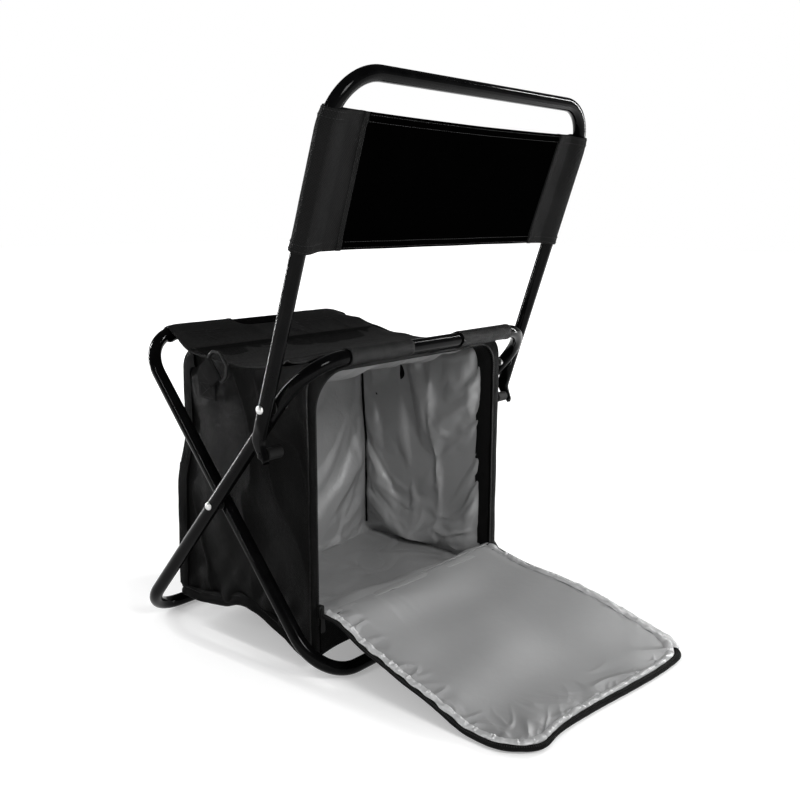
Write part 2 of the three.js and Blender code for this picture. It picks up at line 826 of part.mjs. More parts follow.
// The door, built closed with its hinge line at the origin, then let down until its tip nears the floor.
function door() {
  const inset = doorTapeWidth + gap;
  const arch = archOutline(
    doorHalfWidth - inset,
    hingeBeadRadius + gap,
    doorLength - inset,
    doorCornerRadius - inset,
    archSteps
  );
  const liningFace = 2 * gap - doorHingeBehind;
  const panelFace = liningFace + liningWall + gap;
  const outerFace = panelFace + doorThickness;
  const band = archBand(
    doorHalfWidth,
    doorLength,
    doorCornerRadius,
    doorTapeWidth,
    hingeBeadRadius + gap,
    archSteps
  );
  const reach = Math.hypot(doorLength, outerFace);
  const drop = Math.asin((doorHinge - doorFloorGap) / reach) - Math.atan(outerFace / doorLength);
  const group = new THREE.Group();
  group.add(piece("door_lining", facePrism(arch, liningFace, liningFace + liningWall), "lining"));
  group.add(piece("door_panel", facePrism(arch, panelFace, outerFace), "fabric"));
  group.add(piece("door_zip_tape", facePrism(band, panelFace, panelFace + doorTapeThickness), "zip"));
  group.position.set(0, bagBack + doorHingeBehind, doorHinge);
  group.rotation.x = -(Math.PI / 2 + drop);
  return group;
}

// The slider parked at the foot of the left zip edge, and its pull, which hangs from it.
function zipSlider() {
  const half = sliderWidth / 2;
  const foot = half - sliderThickness / 4;
  const shoulder = sliderHeight / 2;
  const outline = [
    [-foot, 0],
    [foot, 0],
    [half, shoulder],
    [half, sliderHeight],
    [-half, sliderHeight],
    [-half, shoulder]
  ];
  const face = bagBack + doorTapeThickness + 2 * gap;
  const slider = facePrism(outline, face, face + sliderThickness);
  const pullFace = face + sliderThickness + gap;
  const pullTop = sliderHeight - pullHang;
  const pull = block(
    [-pullWidth / 2, pullFace, pullTop - pullLength],
    [pullWidth / 2, pullFace + pullThickness, pullTop]
  );
  const group = new THREE.Group();
  group.add(piece("zip_slider", slider, "plastic"));
  group.add(piece("zip_pull", pull, "plastic"));
  group.position.set(doorHalfWidth + 2 * gap + half, 0, doorHinge + gap);
  return group;
}

// Webbing loops and rings

// A folded strap sewn to a side wall, and the ring that it holds, both along the strap's own Z.
function ringLoop(name, side, endDrop) {
  const wire = ringWire / 2 / Math.cos(Math.PI / ringSides);
  const wrap = wire + gap + loopThickness / 2;
  const barX = loopThickness / 2 + wrap;
  const at = (x, z) => new THREE.Vector3(side * x, 0, z);
  const under = loopThickness / 2;
  const over = under + loopThickness + gap;
  const line = [at(under, 0)];
  for (let i = 0; i <= 2 * ringSteps; i++) {
    const turn = Math.PI * (1 - i / (2 * ringSteps));
    line.push(at(barX + wrap * Math.cos(turn), loopLength + wrap * Math.sin(turn)));
  }
  line.push(at(over, loopLength / 2), at(over, 0));
  const strap = sweep(rectangle(loopThickness, loopWidth), line, new THREE.Vector3(0, 1, 0));

  const half = (ringInnerWidth + ringWire) / 2;
  const height = ringInnerHeight + ringWire;
  const to = (y, z) => new THREE.Vector3(side * barX, y, loopLength + z);
  const corners = [
    to(seamHalfGap, 0),
    to(half, 0),
    to(half, height / 2),
    to(half / 2, height),
    to(-half / 2, height),
    to(-half, height / 2),
    to(-half, 0),
    to(-seamHalfGap, 0)
  ];
  const ringLine = roundedLine(corners, ringWire / 2 + gap, ringSteps / 2);
  const wireSection = new THREE.Shape(flatsPoints(ringWire / 2, ringSides, 0));
  const ring = sweep(wireSection, ringLine, new THREE.Vector3(1, 0, 0));

  const group = new THREE.Group();
  group.add(piece("webbing_loop_" + name, strap, "webbing"));
  group.add(piece("d_ring_" + name, ring, "plastic"));
  group.position.set(side * (bagHalfWidth + gap), -loopEndForward, seatBarHeight - endDrop);
  group.rotation.x = loopAngle * degree - Math.PI / 2;
  return group;
}

// The stool, built round the point on the floor under the leg crossing
function buildStool() {
  const stool = new THREE.Group();

  const outerLeg = new THREE.Group();
  outerLeg.add(outerLegFrame());
  outerLeg.add(seatTunnel("seat_tunnel_rear_left", 1, legsHalfWidth, legLean));
  outerLeg.add(seatTunnel("seat_tunnel_rear_right", -1, legsHalfWidth, legLean));
  outerLeg.add(legPivots());
  outerLeg.position.z = crossingHeight;
  outerLeg.rotation.x = -legLean;
  stool.add(outerLeg);

  const innerLeg = new THREE.Group();
  innerLeg.add(innerLegFrame());
  innerLeg.add(seatTunnel("seat_tunnel_front_left", 1, innerHalfWidth, -legLean));
  innerLeg.add(seatTunnel("seat_tunnel_front_right", -1, innerHalfWidth, -legLean));
  innerLeg.position.z = crossingHeight;
  innerLeg.rotation.x = legLean;
  stool.add(innerLeg);

  const backrest = new THREE.Group();
  backrest.add(backrestFrame());
  backrest.add(backrestPanel());
  backrest.add(backPivots());
  backrest.add(stops());
  backrest.position.set(0, backPivotBehind, backPivotHeight);
  backrest.rotation.x = -backLean;
  stool.add(backrest);

  stool.add(seatPanel());
  stool.add(bagSide("bag_side_panel_left", 1));
  stool.add(bagSide("bag_side_panel_right", -1));
  stool.add(bagFrontPanel());
  stool.add(bagBackPanel());
  stool.add(bagLid());
  stool.add(bagBase());
  stool.add(baseBoard());
  stool.add(bagLining());
  stool.add(...frontPocket());
  stool.add(edgeBinding("edge_binding_left", 1));
  stool.add(edgeBinding("edge_binding_right", -1));
  stool.add(bottomPiping());
  stool.add(...bagDoorEdge());
  stool.add(door());
  stool.add(zipSlider());
  stool.add(ringLoop("left", 1, loopEndDrop));
  stool.add(ringLoop("right", -1, loopRightEndDrop));
  stool.position.y = footSpread;
  return stool;
}

const coolerStool = new THREE.Group();
coolerStool.add(buildStool());

export default coolerStool;
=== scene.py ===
import math

import bmesh
import bpy
import numpy as np
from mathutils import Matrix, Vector


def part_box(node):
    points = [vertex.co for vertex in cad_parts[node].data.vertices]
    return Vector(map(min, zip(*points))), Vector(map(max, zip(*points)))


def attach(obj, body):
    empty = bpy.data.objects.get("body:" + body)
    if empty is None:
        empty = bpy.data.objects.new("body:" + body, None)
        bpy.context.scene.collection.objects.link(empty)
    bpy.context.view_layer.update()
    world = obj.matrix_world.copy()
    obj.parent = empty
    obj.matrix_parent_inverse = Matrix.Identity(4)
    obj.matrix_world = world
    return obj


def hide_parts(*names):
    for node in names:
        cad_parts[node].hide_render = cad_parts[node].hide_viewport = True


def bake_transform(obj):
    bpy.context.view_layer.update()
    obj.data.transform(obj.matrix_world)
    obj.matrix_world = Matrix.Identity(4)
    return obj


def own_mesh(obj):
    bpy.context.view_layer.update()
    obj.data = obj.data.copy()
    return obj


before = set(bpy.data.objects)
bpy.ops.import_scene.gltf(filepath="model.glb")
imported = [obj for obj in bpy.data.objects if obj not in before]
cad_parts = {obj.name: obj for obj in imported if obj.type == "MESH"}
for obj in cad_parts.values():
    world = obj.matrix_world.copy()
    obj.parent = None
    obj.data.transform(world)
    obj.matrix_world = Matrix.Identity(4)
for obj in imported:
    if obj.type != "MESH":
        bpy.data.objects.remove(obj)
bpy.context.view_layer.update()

# Every length is in millimetres until a mesh is made. The frame is the CAD's: the sitter faces -Y.
# The formulas' own numbers are lengths read off the photograph or the solids.
MM = 0.001
TAU = 2 * math.pi
SIDES = (("left", 1), ("right", -1))

# Steel tube and the three frames
TUBE = 8.0
BEND = 58.0
FOOT_SPREAD = 153.6
SEAT_SPREAD = 157.1
BAR_HEIGHT = 366.0
OUTER_HALF = 206.5
INNER_HALF = 188.836
BACK_HALF = 224.164
LEG_ANGLE = math.atan2(BAR_HEIGHT - TUBE, FOOT_SPREAD + SEAT_SPREAD)
LEG_BELOW = FOOT_SPREAD / math.cos(LEG_ANGLE)
LEG_ABOVE = SEAT_SPREAD / math.cos(LEG_ANGLE)
CROSSING = np.array([0, FOOT_SPREAD, TUBE + FOOT_SPREAD * math.tan(LEG_ANGLE)])
OUTER_UP = np.array([0, math.cos(LEG_ANGLE), math.sin(LEG_ANGLE)])
INNER_UP = np.array([0, -math.cos(LEG_ANGLE), math.sin(LEG_ANGLE)])
ACROSS = np.array([1.0, 0, 0])
REAR_BAR = CROSSING + LEG_ABOVE * OUTER_UP
FRONT_BAR = CROSSING + LEG_ABOVE * INNER_UP

# Backrest
BACK_PIVOT = CROSSING + (LEG_ABOVE - BEND - 8) * OUTER_UP
BACK_ANGLE = math.radians(71.6)
BACK_UP = np.array([0, math.cos(BACK_ANGLE), math.sin(BACK_ANGLE)])
BACK_REAR = np.array([0, math.sin(BACK_ANGLE), -math.cos(BACK_ANGLE)])
BACK_HEIGHT = 345.3
PANEL_LOW, PANEL_HIGH = 171.0, 310.0

# Bag
BAG_HALF = 168.0
BAG_FRONT, BAG_REAR = 36.6, 280.6
HINGE = np.array([0, 283.6, 69.0])
DOOR_HALF = 161.0
DOOR_LENGTH = 278.0
DOOR_CORNER = 62.0
DOOR_DROP = math.radians(13.475)
DOOR_OUT = np.array([0, math.cos(DOOR_DROP), -math.sin(DOOR_DROP)])
DOOR_UP = np.array([0, math.sin(DOOR_DROP), math.cos(DOOR_DROP)])

# Thickness of the cut cloths and films
BAG_WALL = 4.2
DOUBLE_CLOTH = 1.2
PLAIN_FILM = 0.8
EDGE_CLOTH = 0.6


# Camera

CAMERA_PLACE = (0.859833, 0.996918, 0.515972)
CAMERA_TURN = (-139.347, -11.223, 0.185)
CAMERA_LENS, CAMERA_SENSOR = 42.567, 36


def add_camera():
    """The camera fitted to the photograph."""
    yaw, pitch, roll = (math.radians(a) for a in CAMERA_TURN)
    forward = Vector((math.cos(pitch) * math.cos(yaw), math.cos(pitch) * math.sin(yaw), math.sin(pitch)))
    right = forward.cross(Vector((0, 0, 1))).normalized()
    up = right.cross(forward)
    turned_right = math.cos(roll) * right + math.sin(roll) * up
    turned_up = -math.sin(roll) * right + math.cos(roll) * up
    data = bpy.data.cameras.new("camera")
    data.sensor_width, data.lens = CAMERA_SENSOR, CAMERA_LENS
    camera = bpy.data.objects.new("camera", data)
    bpy.context.scene.collection.objects.link(camera)
    place = camera.matrix_world.to_3x3()
    place.col[0], place.col[1], place.col[2] = turned_right, turned_up, -forward
    camera.matrix_world = place.to_4x4()
    camera.location = CAMERA_PLACE
    bpy.context.scene.camera = camera


add_camera()


# Arrays

def unit(vectors):
    return vectors / np.linalg.norm(vectors, axis=-1, keepdims=True)


def paired(a, b):
    return np.stack([a, b], -1)


def lattice(a, b):
    return np.meshgrid(a, b, indexing="ij")


def run_of(line):
    """The length from a line's start to each of its points."""
    return np.concatenate([[0], np.cumsum(np.linalg.norm(np.diff(line, axis=0), axis=1))])


def read_at(at, run, line):
    """The line's points where its run has the given lengths."""
    return np.stack([np.interp(at, run, line[:, c]) for c in range(line.shape[1])], -1)


def outward_of(line):
    """The unit vectors to the right of a flat line's course."""
    direction = unit(np.gradient(line, axis=0))
    return paired(direction[:, 1], -direction[:, 0])


def circle(count):
    return np.linspace(0, TAU, count, endpoint=False)


def arc(centre, radius, start, end, count):
    """Pairs on an arc from one angle to another."""
    return [(centre[0] + radius * math.cos(t), centre[1] + radius * math.sin(t))
            for t in np.linspace(start, end, count)]


# Numbers that vary smoothly over a surface

def smooth(value, low=0.0, high=1.0):
    t = np.clip((np.asarray(value, float) - low) / (high - low), 0, 1)
    return t * t * (3 - 2 * t)


def bump(value, centre, width):
    return np.exp(-((np.asarray(value, float) - centre) / width) ** 2)


def ripple(points, size, seed, count=14):
    """A soft random field of about -1 to 1 whose waves are about size apart."""
    points = np.asarray(points, float)
    random = np.random.default_rng(seed)
    total = np.zeros(points.shape[:-1])
    for _ in range(count):
        direction = random.normal(size=points.shape[-1])
        direction /= np.linalg.norm(direction)
        rate = TAU / size * random.uniform(0.6, 1.5)
        total += np.sin(points @ direction * rate + random.uniform(0, TAU))
    return total / math.sqrt(count) * 0.8


def creases(points, size, seed):
    """Sharp folds with soft hollows between them, from 0 to 1."""
    shift = np.stack([ripple(points, size * 2.2, seed + k, 8) for k in range(points.shape[-1])], -1)
    bent = points + shift * size * 0.45
    return np.clip(1 - 1.6 * np.abs(ripple(bent, size * 1.6, seed + 9)), 0, 1) ** 1.6


def folds(points, size, seed, level=0.3):
    """Creases about their own mean level."""
    return creases(points, size, seed) - level


# Meshes

class Shape:
    """Points, faces and cloth coordinates of one piece, gathered part by part."""

    def __init__(self):
        self.points, self.faces, self.cloth = [], [], []

    def add(self, points, faces, cloth=None):
        points = np.asarray(points, float).reshape(-1, 3)
        start = len(self.points)
        self.points.extend(points.tolist())
        self.faces.extend([tuple(start + i for i in face) for face in faces])
        flat = points[:, :2] if cloth is None else np.asarray(cloth, float).reshape(-1, 2)
        self.cloth.extend(flat.tolist())
        return self

    def grid(self, points, wrap_u=False, wrap_v=False, cloth=None):
        nu, nv = points.shape[:2]
        faces = []
        for i in range(nu if wrap_u else nu - 1):
            for j in range(nv if wrap_v else nv - 1):
                k, m = (i + 1) % nu, (j + 1) % nv
                faces.append((i * nv + j, k * nv + j, k * nv + m, i * nv + m))
        return self.add(points, faces, cloth_of(points) if cloth is None else cloth)

    def slab(self, points, thickness, wrap_u=False, cloth=None, mask=None):
        """A sheet whose front is the given grid, closed by a back and by its rims."""
        nu, nv = points.shape[:2]
        normals = normals_of(points, wrap_u)
        depth = np.broadcast_to(np.asarray(thickness, float), (nu, nv))[..., None]
        back = points - normals * depth
        count = nu * nv
        cells_u = nu if wrap_u else nu - 1
        kept = np.ones((cells_u, nv - 1), bool) if mask is None else mask
        faces = []

        def held(i, j):
            if wrap_u:
                i %= cells_u
            return 0 <= i < cells_u and 0 <= j < nv - 1 and kept[i, j]

        for i in range(cells_u):
            for j in range(nv - 1):
                if not kept[i, j]:
                    continue
                k = (i + 1) % nu
                a, b, c, d = i * nv + j, k * nv + j, k * nv + j + 1, i * nv + j + 1
                faces.append((a, b, c, d))
                faces.append((d + count, c + count, b + count, a + count))
                for p, q, beside in ((a, b, (i, j - 1)), (b, c, (i + 1, j)),
                                     (c, d, (i, j + 1)), (d, a, (i - 1, j))):
                    if not held(*beside):
                        faces.append((q, p, p + count, q + count))
        flat = cloth_of(points) if cloth is None else np.asarray(cloth, float)
        both = np.concatenate([points.reshape(-1, 3), back.reshape(-1, 3)])
        return self.add(both, faces, np.concatenate([flat.reshape(-1, 2)] * 2))

    def tube(self, line, radius, sides=28, closed=False, side=ACROSS, flat=1.0):
        """A round bar along a line in a plane square to side; flat widens it along side."""
        line = np.asarray(line, float)
        if closed:
            tangent = np.roll(line, -1, 0) - np.roll(line, 1, 0)
        else:
            tangent = np.gradient(line, axis=0)
        side = np.broadcast_to(np.asarray(side, float), line.shape)
        other = unit(np.cross(side, unit(tangent)))
        angle = circle(sides)
        radius = np.broadcast_to(np.asarray(radius, float), (len(line),))
        ring = (np.cos(angle)[None, :, None] * other[:, None]
                + np.sin(angle)[None, :, None] * side[:, None] * flat)
        points = line[:, None] + ring * radius[:, None, None]
        self.grid(points[:, ::-1], wrap_u=closed, wrap_v=True)
        return self if closed else self.capped(len(line), sides)

    def capped(self, rings, sides):
        """Closes both ends of the tube that was added last."""
        last = len(self.points) - sides
        first = last - (rings - 1) * sides
        self.faces.append(tuple(range(first, first + sides))[::-1])
        self.faces.append(tuple(range(last, last + sides)))
        return self

    def box(self, centre, along, across, up):
        """A small block given by its half edges, with its corners kept."""
        corners = [centre + a * along + b * across + c * up
                   for a in (-1, 1) for b in (-1, 1) for c in (-1, 1)]
        faces = [(0, 1, 3, 2), (4, 6, 7, 5), (0, 4, 5, 1), (2, 3, 7, 6), (0, 2, 6, 4), (1, 5, 7, 3)]
        return self.add(corners, faces)

    def lathe(self, centre, profile, sides=40):
        """A body turned round X: pairs of x and radius."""
        angle = circle(sides)
        profile = np.asarray(profile, float)
        points = np.empty((len(profile), sides, 3))
        points[..., 0] = centre[0] + profile[:, :1]
        points[..., 1] = centre[1] + profile[:, 1:] * np.cos(angle)
        points[..., 2] = centre[2] + profile[:, 1:] * np.sin(angle)
        return self.grid(points, wrap_v=True)

    def turned(self, centre, profile, sign):
        """A lathe body of the left side, or its mirror image for the right."""
        rows = [(sign * x, r) for x, r in profile]
        return self.lathe(centre, rows if sign > 0 else rows[::-1])

    def stitches(self, line, up, pitch=3.4, length=2.5, radius=0.32):
        """A row of thread dashes along a line, half sunk in the cloth."""
        line = np.asarray(line, float)
        up = np.broadcast_to(np.asarray(up, float), line.shape)
        run = run_of(line)
        for k in range(int(run[-1] / pitch)):
            at = (k + 0.5) * pitch
            spots = read_at([at - length / 2, at, at + length / 2], run, line)
            normal = read_at(at, run, up)
            normal /= np.linalg.norm(normal)
            tangent = spots[2] - spots[0]
            tangent /= np.linalg.norm(tangent) + 1e-9
            beside = np.cross(tangent, normal)
            rows = []
            for spot, lift, size in zip(spots, (0.0, 1.0, 0.0), (0.45, 1.0, 0.45)):
                middle = spot + normal * radius * 0.7 * lift
                rows.append([middle + size * radius * (math.cos(t) * beside + math.sin(t) * normal)
                             for t in circle(6)])
            self.grid(np.array(rows)[:, ::-1], wrap_v=True).capped(3, 6)
        return self

    def piece(self, name, material, slot, body="root", replaces=(), sharp=38):
        mesh = bpy.data.meshes.new(name)
        mesh.from_pydata((np.array(self.points) * MM).tolist(), [], self.faces)
        layer = mesh.uv_layers.new(name="cloth")
        index = np.empty(len(mesh.loops), np.int32)
        mesh.loops.foreach_get("vertex_index", index)
        layer.data.foreach_set("uv", np.array(self.cloth)[index].ravel())
        mesh.polygons.foreach_set("use_smooth", [True] * len(mesh.polygons))
        merge_points(mesh)
        mesh.set_sharp_from_angle(angle=math.radians(sharp))
        obj = bpy.data.objects.new(name, mesh)
        bpy.context.scene.collection.objects.link(obj)
        mesh.materials.append(material)
        if replaces:
            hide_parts(*replaces)
        if body:
            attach(obj, body)
        return obj


def sheet(obj):
    """Reads a piece's cloth coordinates, and does nothing more with them.

    Its area is half its closed mesh, and the size is widened evenly where it is too small for that.
    """
    cloth = np.empty(len(obj.data.loops) * 2)
    obj.data.uv_layers["cloth"].data.foreach_get("uv", cloth)


def merge_points(mesh):
    """Drops points that no face uses and joins those that meet."""
    work = bmesh.new()
    work.from_mesh(mesh)
    bmesh.ops.delete(work, geom=[v for v in work.verts if not v.link_faces], context="VERTS")
    bmesh.ops.remove_doubles(work, verts=work.verts, dist=1e-6)
    bmesh.ops.dissolve_degenerate(work, edges=work.edges, dist=1e-7)
    work.to_mesh(mesh)
    work.free()


def cloth_of(points):
    """Cloth coordinates in millimetres, from the lengths along a grid."""
    def run(array):
        steps = np.linalg.norm(np.diff(array, axis=0), axis=2).mean(1)
        return np.concatenate([[0], np.cumsum(steps)])
    return paired(*lattice(run(points), run(points.transpose(1, 0, 2))))


def normals_of(points, wrap_u=False):
    if wrap_u:
        du = np.roll(points, -1, 0) - np.roll(points, 1, 0)
    else:
        du = np.gradient(points, axis=0)
    dv = np.gradient(points, axis=1)
    normal = np.cross(du, dv)
    return normal / np.maximum(np.linalg.norm(normal, axis=2, keepdims=True), 1e-9)


def rounded(corners, radius, steps=22, closed=False):
    """A line through corners that are rounded off."""
    corners = [np.asarray(c, float) for c in corners]
    count = len(corners)
    points = [] if closed else [corners[0]]
    for i in range(0 if closed else 1, count if closed else count - 1):
        here, before, after = corners[i], corners[i - 1], corners[(i + 1) % count]
        a = (before - here) / np.linalg.norm(before - here)
        b = (after - here) / np.linalg.norm(after - here)
        half = math.acos(np.clip(a @ b, -1, 1)) / 2
        inward = (a + b) / np.linalg.norm(a + b)
        centre = here + inward * radius / math.sin(half)
        start = here + a * radius / math.tan(half) - centre
        end = here + b * radius / math.tan(half) - centre
        turn = math.pi - 2 * half
        for k in range(steps + 1):
            t = turn * k / steps
            points.append(centre + (start * math.sin(turn - t) + end * math.sin(t)) / math.sin(turn))
    if not closed:
        points.append(corners[-1])
    return np.array(points)


def filled(line, step):
    """The same line with points at most a step apart."""
    line = np.asarray(line, float)
    out = [line[0]]
    for a, b in zip(line[:-1], line[1:]):
        n = max(1, int(math.ceil(np.linalg.norm(b - a) / step)))
        out.extend(a + (b - a) * k / n for k in range(1, n + 1))
    return np.array(out)


# Materials

class Paint:
    """A material whose nodes are added one by one."""

    def __init__(self, name):
        self.material = bpy.data.materials.new(name)
        self.material.use_nodes = True
        self.tree = self.material.node_tree
        self.shader = self.tree.nodes["Principled BSDF"]

    def node(self, kind, out=0, settings=None, **inputs):
        made = self.tree.nodes.new("ShaderNode" + kind)
        for key, value in (settings or {}).items():
            setattr(made, key, value)
        for key, value in inputs.items():
            numbered = key[0] == "i" and key[1:].isdigit()
            self.set(made.inputs[int(key[1:]) if numbered else key], value)
        return made.outputs[out]

    def set(self, target, value):
        if isinstance(value, bpy.types.NodeSocket):
            self.tree.links.new(value, target)
        else:
            target.default_value = value

    def math(self, operation, a, b=0.0):
        return self.node("Math", settings={"operation": operation}, i0=a, i1=b)

    def place(self):
        return self.node("TexCoord", 3)

    def cloth(self):
        """Cloth coordinates, as two values in millimetres."""
        u = self.node("SeparateXYZ", 0, Vector=self.node("UVMap", settings={"uv_map": "cloth"}))
        return u, u.node.outputs[1]

    def times(self, colour, tone):
        """A colour made darker or lighter by a grey tone."""
        return self.node("Mix", 2, settings={"data_type": "RGBA", "blend_type": "MULTIPLY"},
                         i0=1.0, i6=colour, i7=tone)

    def noise(self, size, detail=3.0, vector=None, stretch=None):
        """Noise whose lumps are about size millimetres."""
        vector = self.place() if vector is None else vector
        if stretch:
            vector = self.node("Mapping", Vector=vector, Scale=stretch)
        return self.node("TexNoise", Vector=vector, Scale=1 / (size * MM), Detail=detail)

    def ramp(self, value, stops):
        made = self.tree.nodes.new("ShaderNodeValToRGB")
        self.set(made.inputs[0], value)
        ends = made.color_ramp.elements
        while len(ends) < len(stops):
            ends.new(0.5)
        for element, (position, colour) in zip(ends, stops):
            element.position = position
            element.color = (*colour, 1) if hasattr(colour, "__len__") else (colour, colour, colour, 1)
        return made.outputs[0]

    def between(self, value, low, high):
        return self.node("MapRange", Value=value, i3=low, i4=high)

    def put(self, **inputs):
        for key, value in inputs.items():
            self.set(self.shader.inputs[key.replace("_", " ")], value)
        return self

    def relief(self, height, depth, strength=1.0, below=None):
        """A bump whose full height is depth millimetres, on top of another bump."""
        inputs = {"Height": height, "Distance": depth * MM, "Strength": strength}
        if below is not None:
            inputs["Normal"] = below
        return self.node("Bump", **inputs)


def grey(level, warm=0.0):
    return (level * (1 + warm), level, level * (1 - warm), 1.0)


def weave(paint, pitch):
    """Height of a plain weave of thick thread, from 0 to 1, from cloth coordinates in millimetres."""
    u, v = paint.cloth()
    rate = TAU / pitch
    across = paint.math("SINE", paint.math("MULTIPLY", u, rate))
    along = paint.math("SINE", paint.math("MULTIPLY", v, rate))
    checks = paint.math("MULTIPLY", across, along)
    fine = paint.math("SINE", paint.math("MULTIPLY", paint.math("ADD", u, v), rate * 2))
    mixed = paint.math("MULTIPLY_ADD", fine, 0.15)
    mixed.node.inputs[2].default_value = 0.5
    return paint.math("ADD", paint.math("MULTIPLY", checks, 0.42), mixed)


def oxford(name, level, pitch, rough, crumple, gloss):
    """Coated polyester cloth: a coarse uneven weave, soft crumples, and painted highlight on its high
    threads with painted shade between them.
    """
    paint = Paint(name)
    threads = weave(paint, pitch)
    patch = paint.noise(60, 4)
    dust = paint.noise(4, 5)
    slub = paint.noise(2.6, 2)
    tone = paint.math("MULTIPLY", paint.between(patch, 0.5, 1.6), paint.between(dust, 0.7, 1.35))
    # Painted highlight and shade of the weave: the colour is paler where the threads stand high and darker
    # between them.
    tone = paint.math("MULTIPLY", tone, paint.between(threads, 0.25, 1.5))
    colour = paint.times(grey(level * 1.3), paint.ramp(tone, [(0.2, 0.2), (1.4, 1.4)]))
    folds = paint.relief(paint.noise(30, 4), 3.0, crumple)
    small = paint.relief(paint.noise(9, 3), 0.8, crumple, folds)
    rough_threads = paint.relief(slub, 0.35, 0.8, small)
    paint.put(Base_Color=colour, Roughness=paint.between(dust, rough - 0.1, rough + 0.12),
              Normal=paint.relief(threads, 0.6, 1.0, rough_threads), Specular_IOR_Level=gloss)
    return paint.material


def black_steel():
    paint = Paint("black_steel")
    peel = paint.noise(1.6, 2)
    scuff = paint.noise(20, 6)
    colour = paint.ramp(scuff, [(0.3, (0.001, 0.001, 0.0011)), (0.75, (0.003, 0.003, 0.0032))])
    paint.put(Base_Color=colour, Roughness=paint.between(scuff, 0.07, 0.13),
              Normal=paint.relief(peel, 0.03, 0.3), Specular_IOR_Level=0.06)
    return paint.material


def bright_steel():
    paint = Paint("bright_steel")
    scuff = paint.noise(1.2, 5)
    colour = paint.ramp(scuff, [(0.3, (0.5, 0.5, 0.5)), (0.7, (0.72, 0.72, 0.71))])
    paint.put(Base_Color=colour, Metallic=1.0, Roughness=paint.between(scuff, 0.22, 0.4),
              Normal=paint.relief(scuff, 0.04, 0.5))
    return paint.material


def foil(name, level, crinkle, rough=(0.36, 0.52)):
    """The silvery film that lines the bag, laminated to thin foam."""
    paint = Paint(name)
    broad = paint.noise(38, 3)
    mid = paint.noise(11, 4)
    bent = paint.node("Mix", 1, settings={"data_type": "VECTOR"}, i0=0.03,
                      i4=paint.place(), i5=paint.node("TexNoise", 1, Scale=30.0))
    cells = paint.node("TexVoronoi", settings={"feature": "DISTANCE_TO_EDGE"}, Vector=bent,
                       Scale=1 / (17 * MM))
    lines = paint.ramp(cells, [(0.0, 0.0), (0.16, 1.0)])
    tone = paint.between(paint.noise(70, 4), 0.9, 1.08)
    colour = paint.times(grey(level, -0.004), paint.ramp(tone, [(0.0, 0.0), (1.0, 1.0)]))
    normal = paint.relief(broad, 3.0, crinkle)
    normal = paint.relief(mid, 0.7, crinkle, normal)
    normal = paint.relief(lines, 0.25, crinkle * 0.8, normal)
    paint.put(Base_Color=colour, Metallic=0.35, Roughness=paint.between(mid, *rough), Normal=normal,
              Specular_IOR_Level=0.5)
    return paint.material


def webbing(name, level):
    """Woven tape: ribs across it and a finer twill along it, with painted highlight on the raised threads
    and painted shade between them.
    """
    paint = Paint(name)
    u, v = paint.cloth()
    ribs = paint.math("SINE", paint.math("MULTIPLY", u, TAU / 1.6))
    twill = paint.math("SINE", paint.math("MULTIPLY", paint.math("ADD", u, v), TAU / 2.4))
    height = paint.math("ADD", paint.math("MULTIPLY", ribs, 0.3), paint.math("MULTIPLY", twill, 0.2))
    # Painted highlight and shade of the weave: the tape is paler on its raised ribs and twill, darker
    # between them.
    tone = paint.between(height, 0.5, 1.6)
    patch = paint.between(paint.noise(15, 4), 0.7, 1.3)
    colour = paint.times(grey(level), paint.ramp(paint.math("MULTIPLY", tone, patch), [(0, 0.3), (1, 1)]))
    paint.put(Base_Color=colour, Roughness=0.72, Normal=paint.relief(height, 0.3, 0.8),
              Specular_IOR_Level=0.04)
    return paint.material


def moulded(name, level, rough, grain=0.04):
    paint = Paint(name)
    speck = paint.noise(0.9, 3)
    scuff = paint.noise(9, 5)
    colour = paint.ramp(scuff, [(0.3, grey(level * 0.8)[:3]), (0.8, grey(level * 1.3)[:3])])
    paint.put(Base_Color=colour, Roughness=paint.between(scuff, rough - 0.06, rough + 0.1),
              Normal=paint.relief(speck, grain, 0.6), Specular_IOR_Level=0.2)
    return paint.material


STEEL = black_steel()
BRIGHT = bright_steel()
# The black cloths are of one make at different levels: the seat's is lighter, partly painted light on the
# sling's lit top, and the bag's darker, partly painted shade on its walls.
SEAT_CLOTH = oxford("seat_cloth", 0.0075, pitch=2.2, rough=0.45, crumple=0.9, gloss=0.08)
BACK_CLOTH = oxford("backrest_cloth", 0.006, pitch=2.6, rough=0.6, crumple=0.5, gloss=0.03)
BACK_PLAIN = oxford("backrest_plain_cloth", 0.0004, pitch=2.4, rough=0.95, crumple=0.15, gloss=0.0)
BAG_CLOTH = oxford("bag_cloth", 0.0026, pitch=2.3, rough=0.45, crumple=1.0, gloss=0.03)
BINDING = webbing("binding_tape", 0.0028)
WEBBING = webbing("black_webbing", 0.013)
# The lining film is set lighter than the door's film of the same make: painted light inside the bag, and
# painted shade on the open door, which the lamps reach fully.
FILM = foil("lining_film", 0.36, crinkle=0.35)
DOOR_FILM_SHADED = foil("door_film", 0.3, crinkle=0.16, rough=(0.5, 0.62))
EDGE_FILM = foil("edge_film", 0.5, crinkle=1.0)
THREAD = moulded("black_thread", 0.012, rough=0.6)
ZIP = moulded("zip_nylon", 0.008, rough=0.35)
ZIP_TAPE = oxford("zip_tape", 0.004, pitch=1.6, rough=0.7, crumple=0.1, gloss=0.08)
PLASTIC = moulded("black_plastic", 0.006, rough=0.35)
RUBBER = moulded("black_rubber", 0.006, rough=0.6, grain=0.08)


# Frames

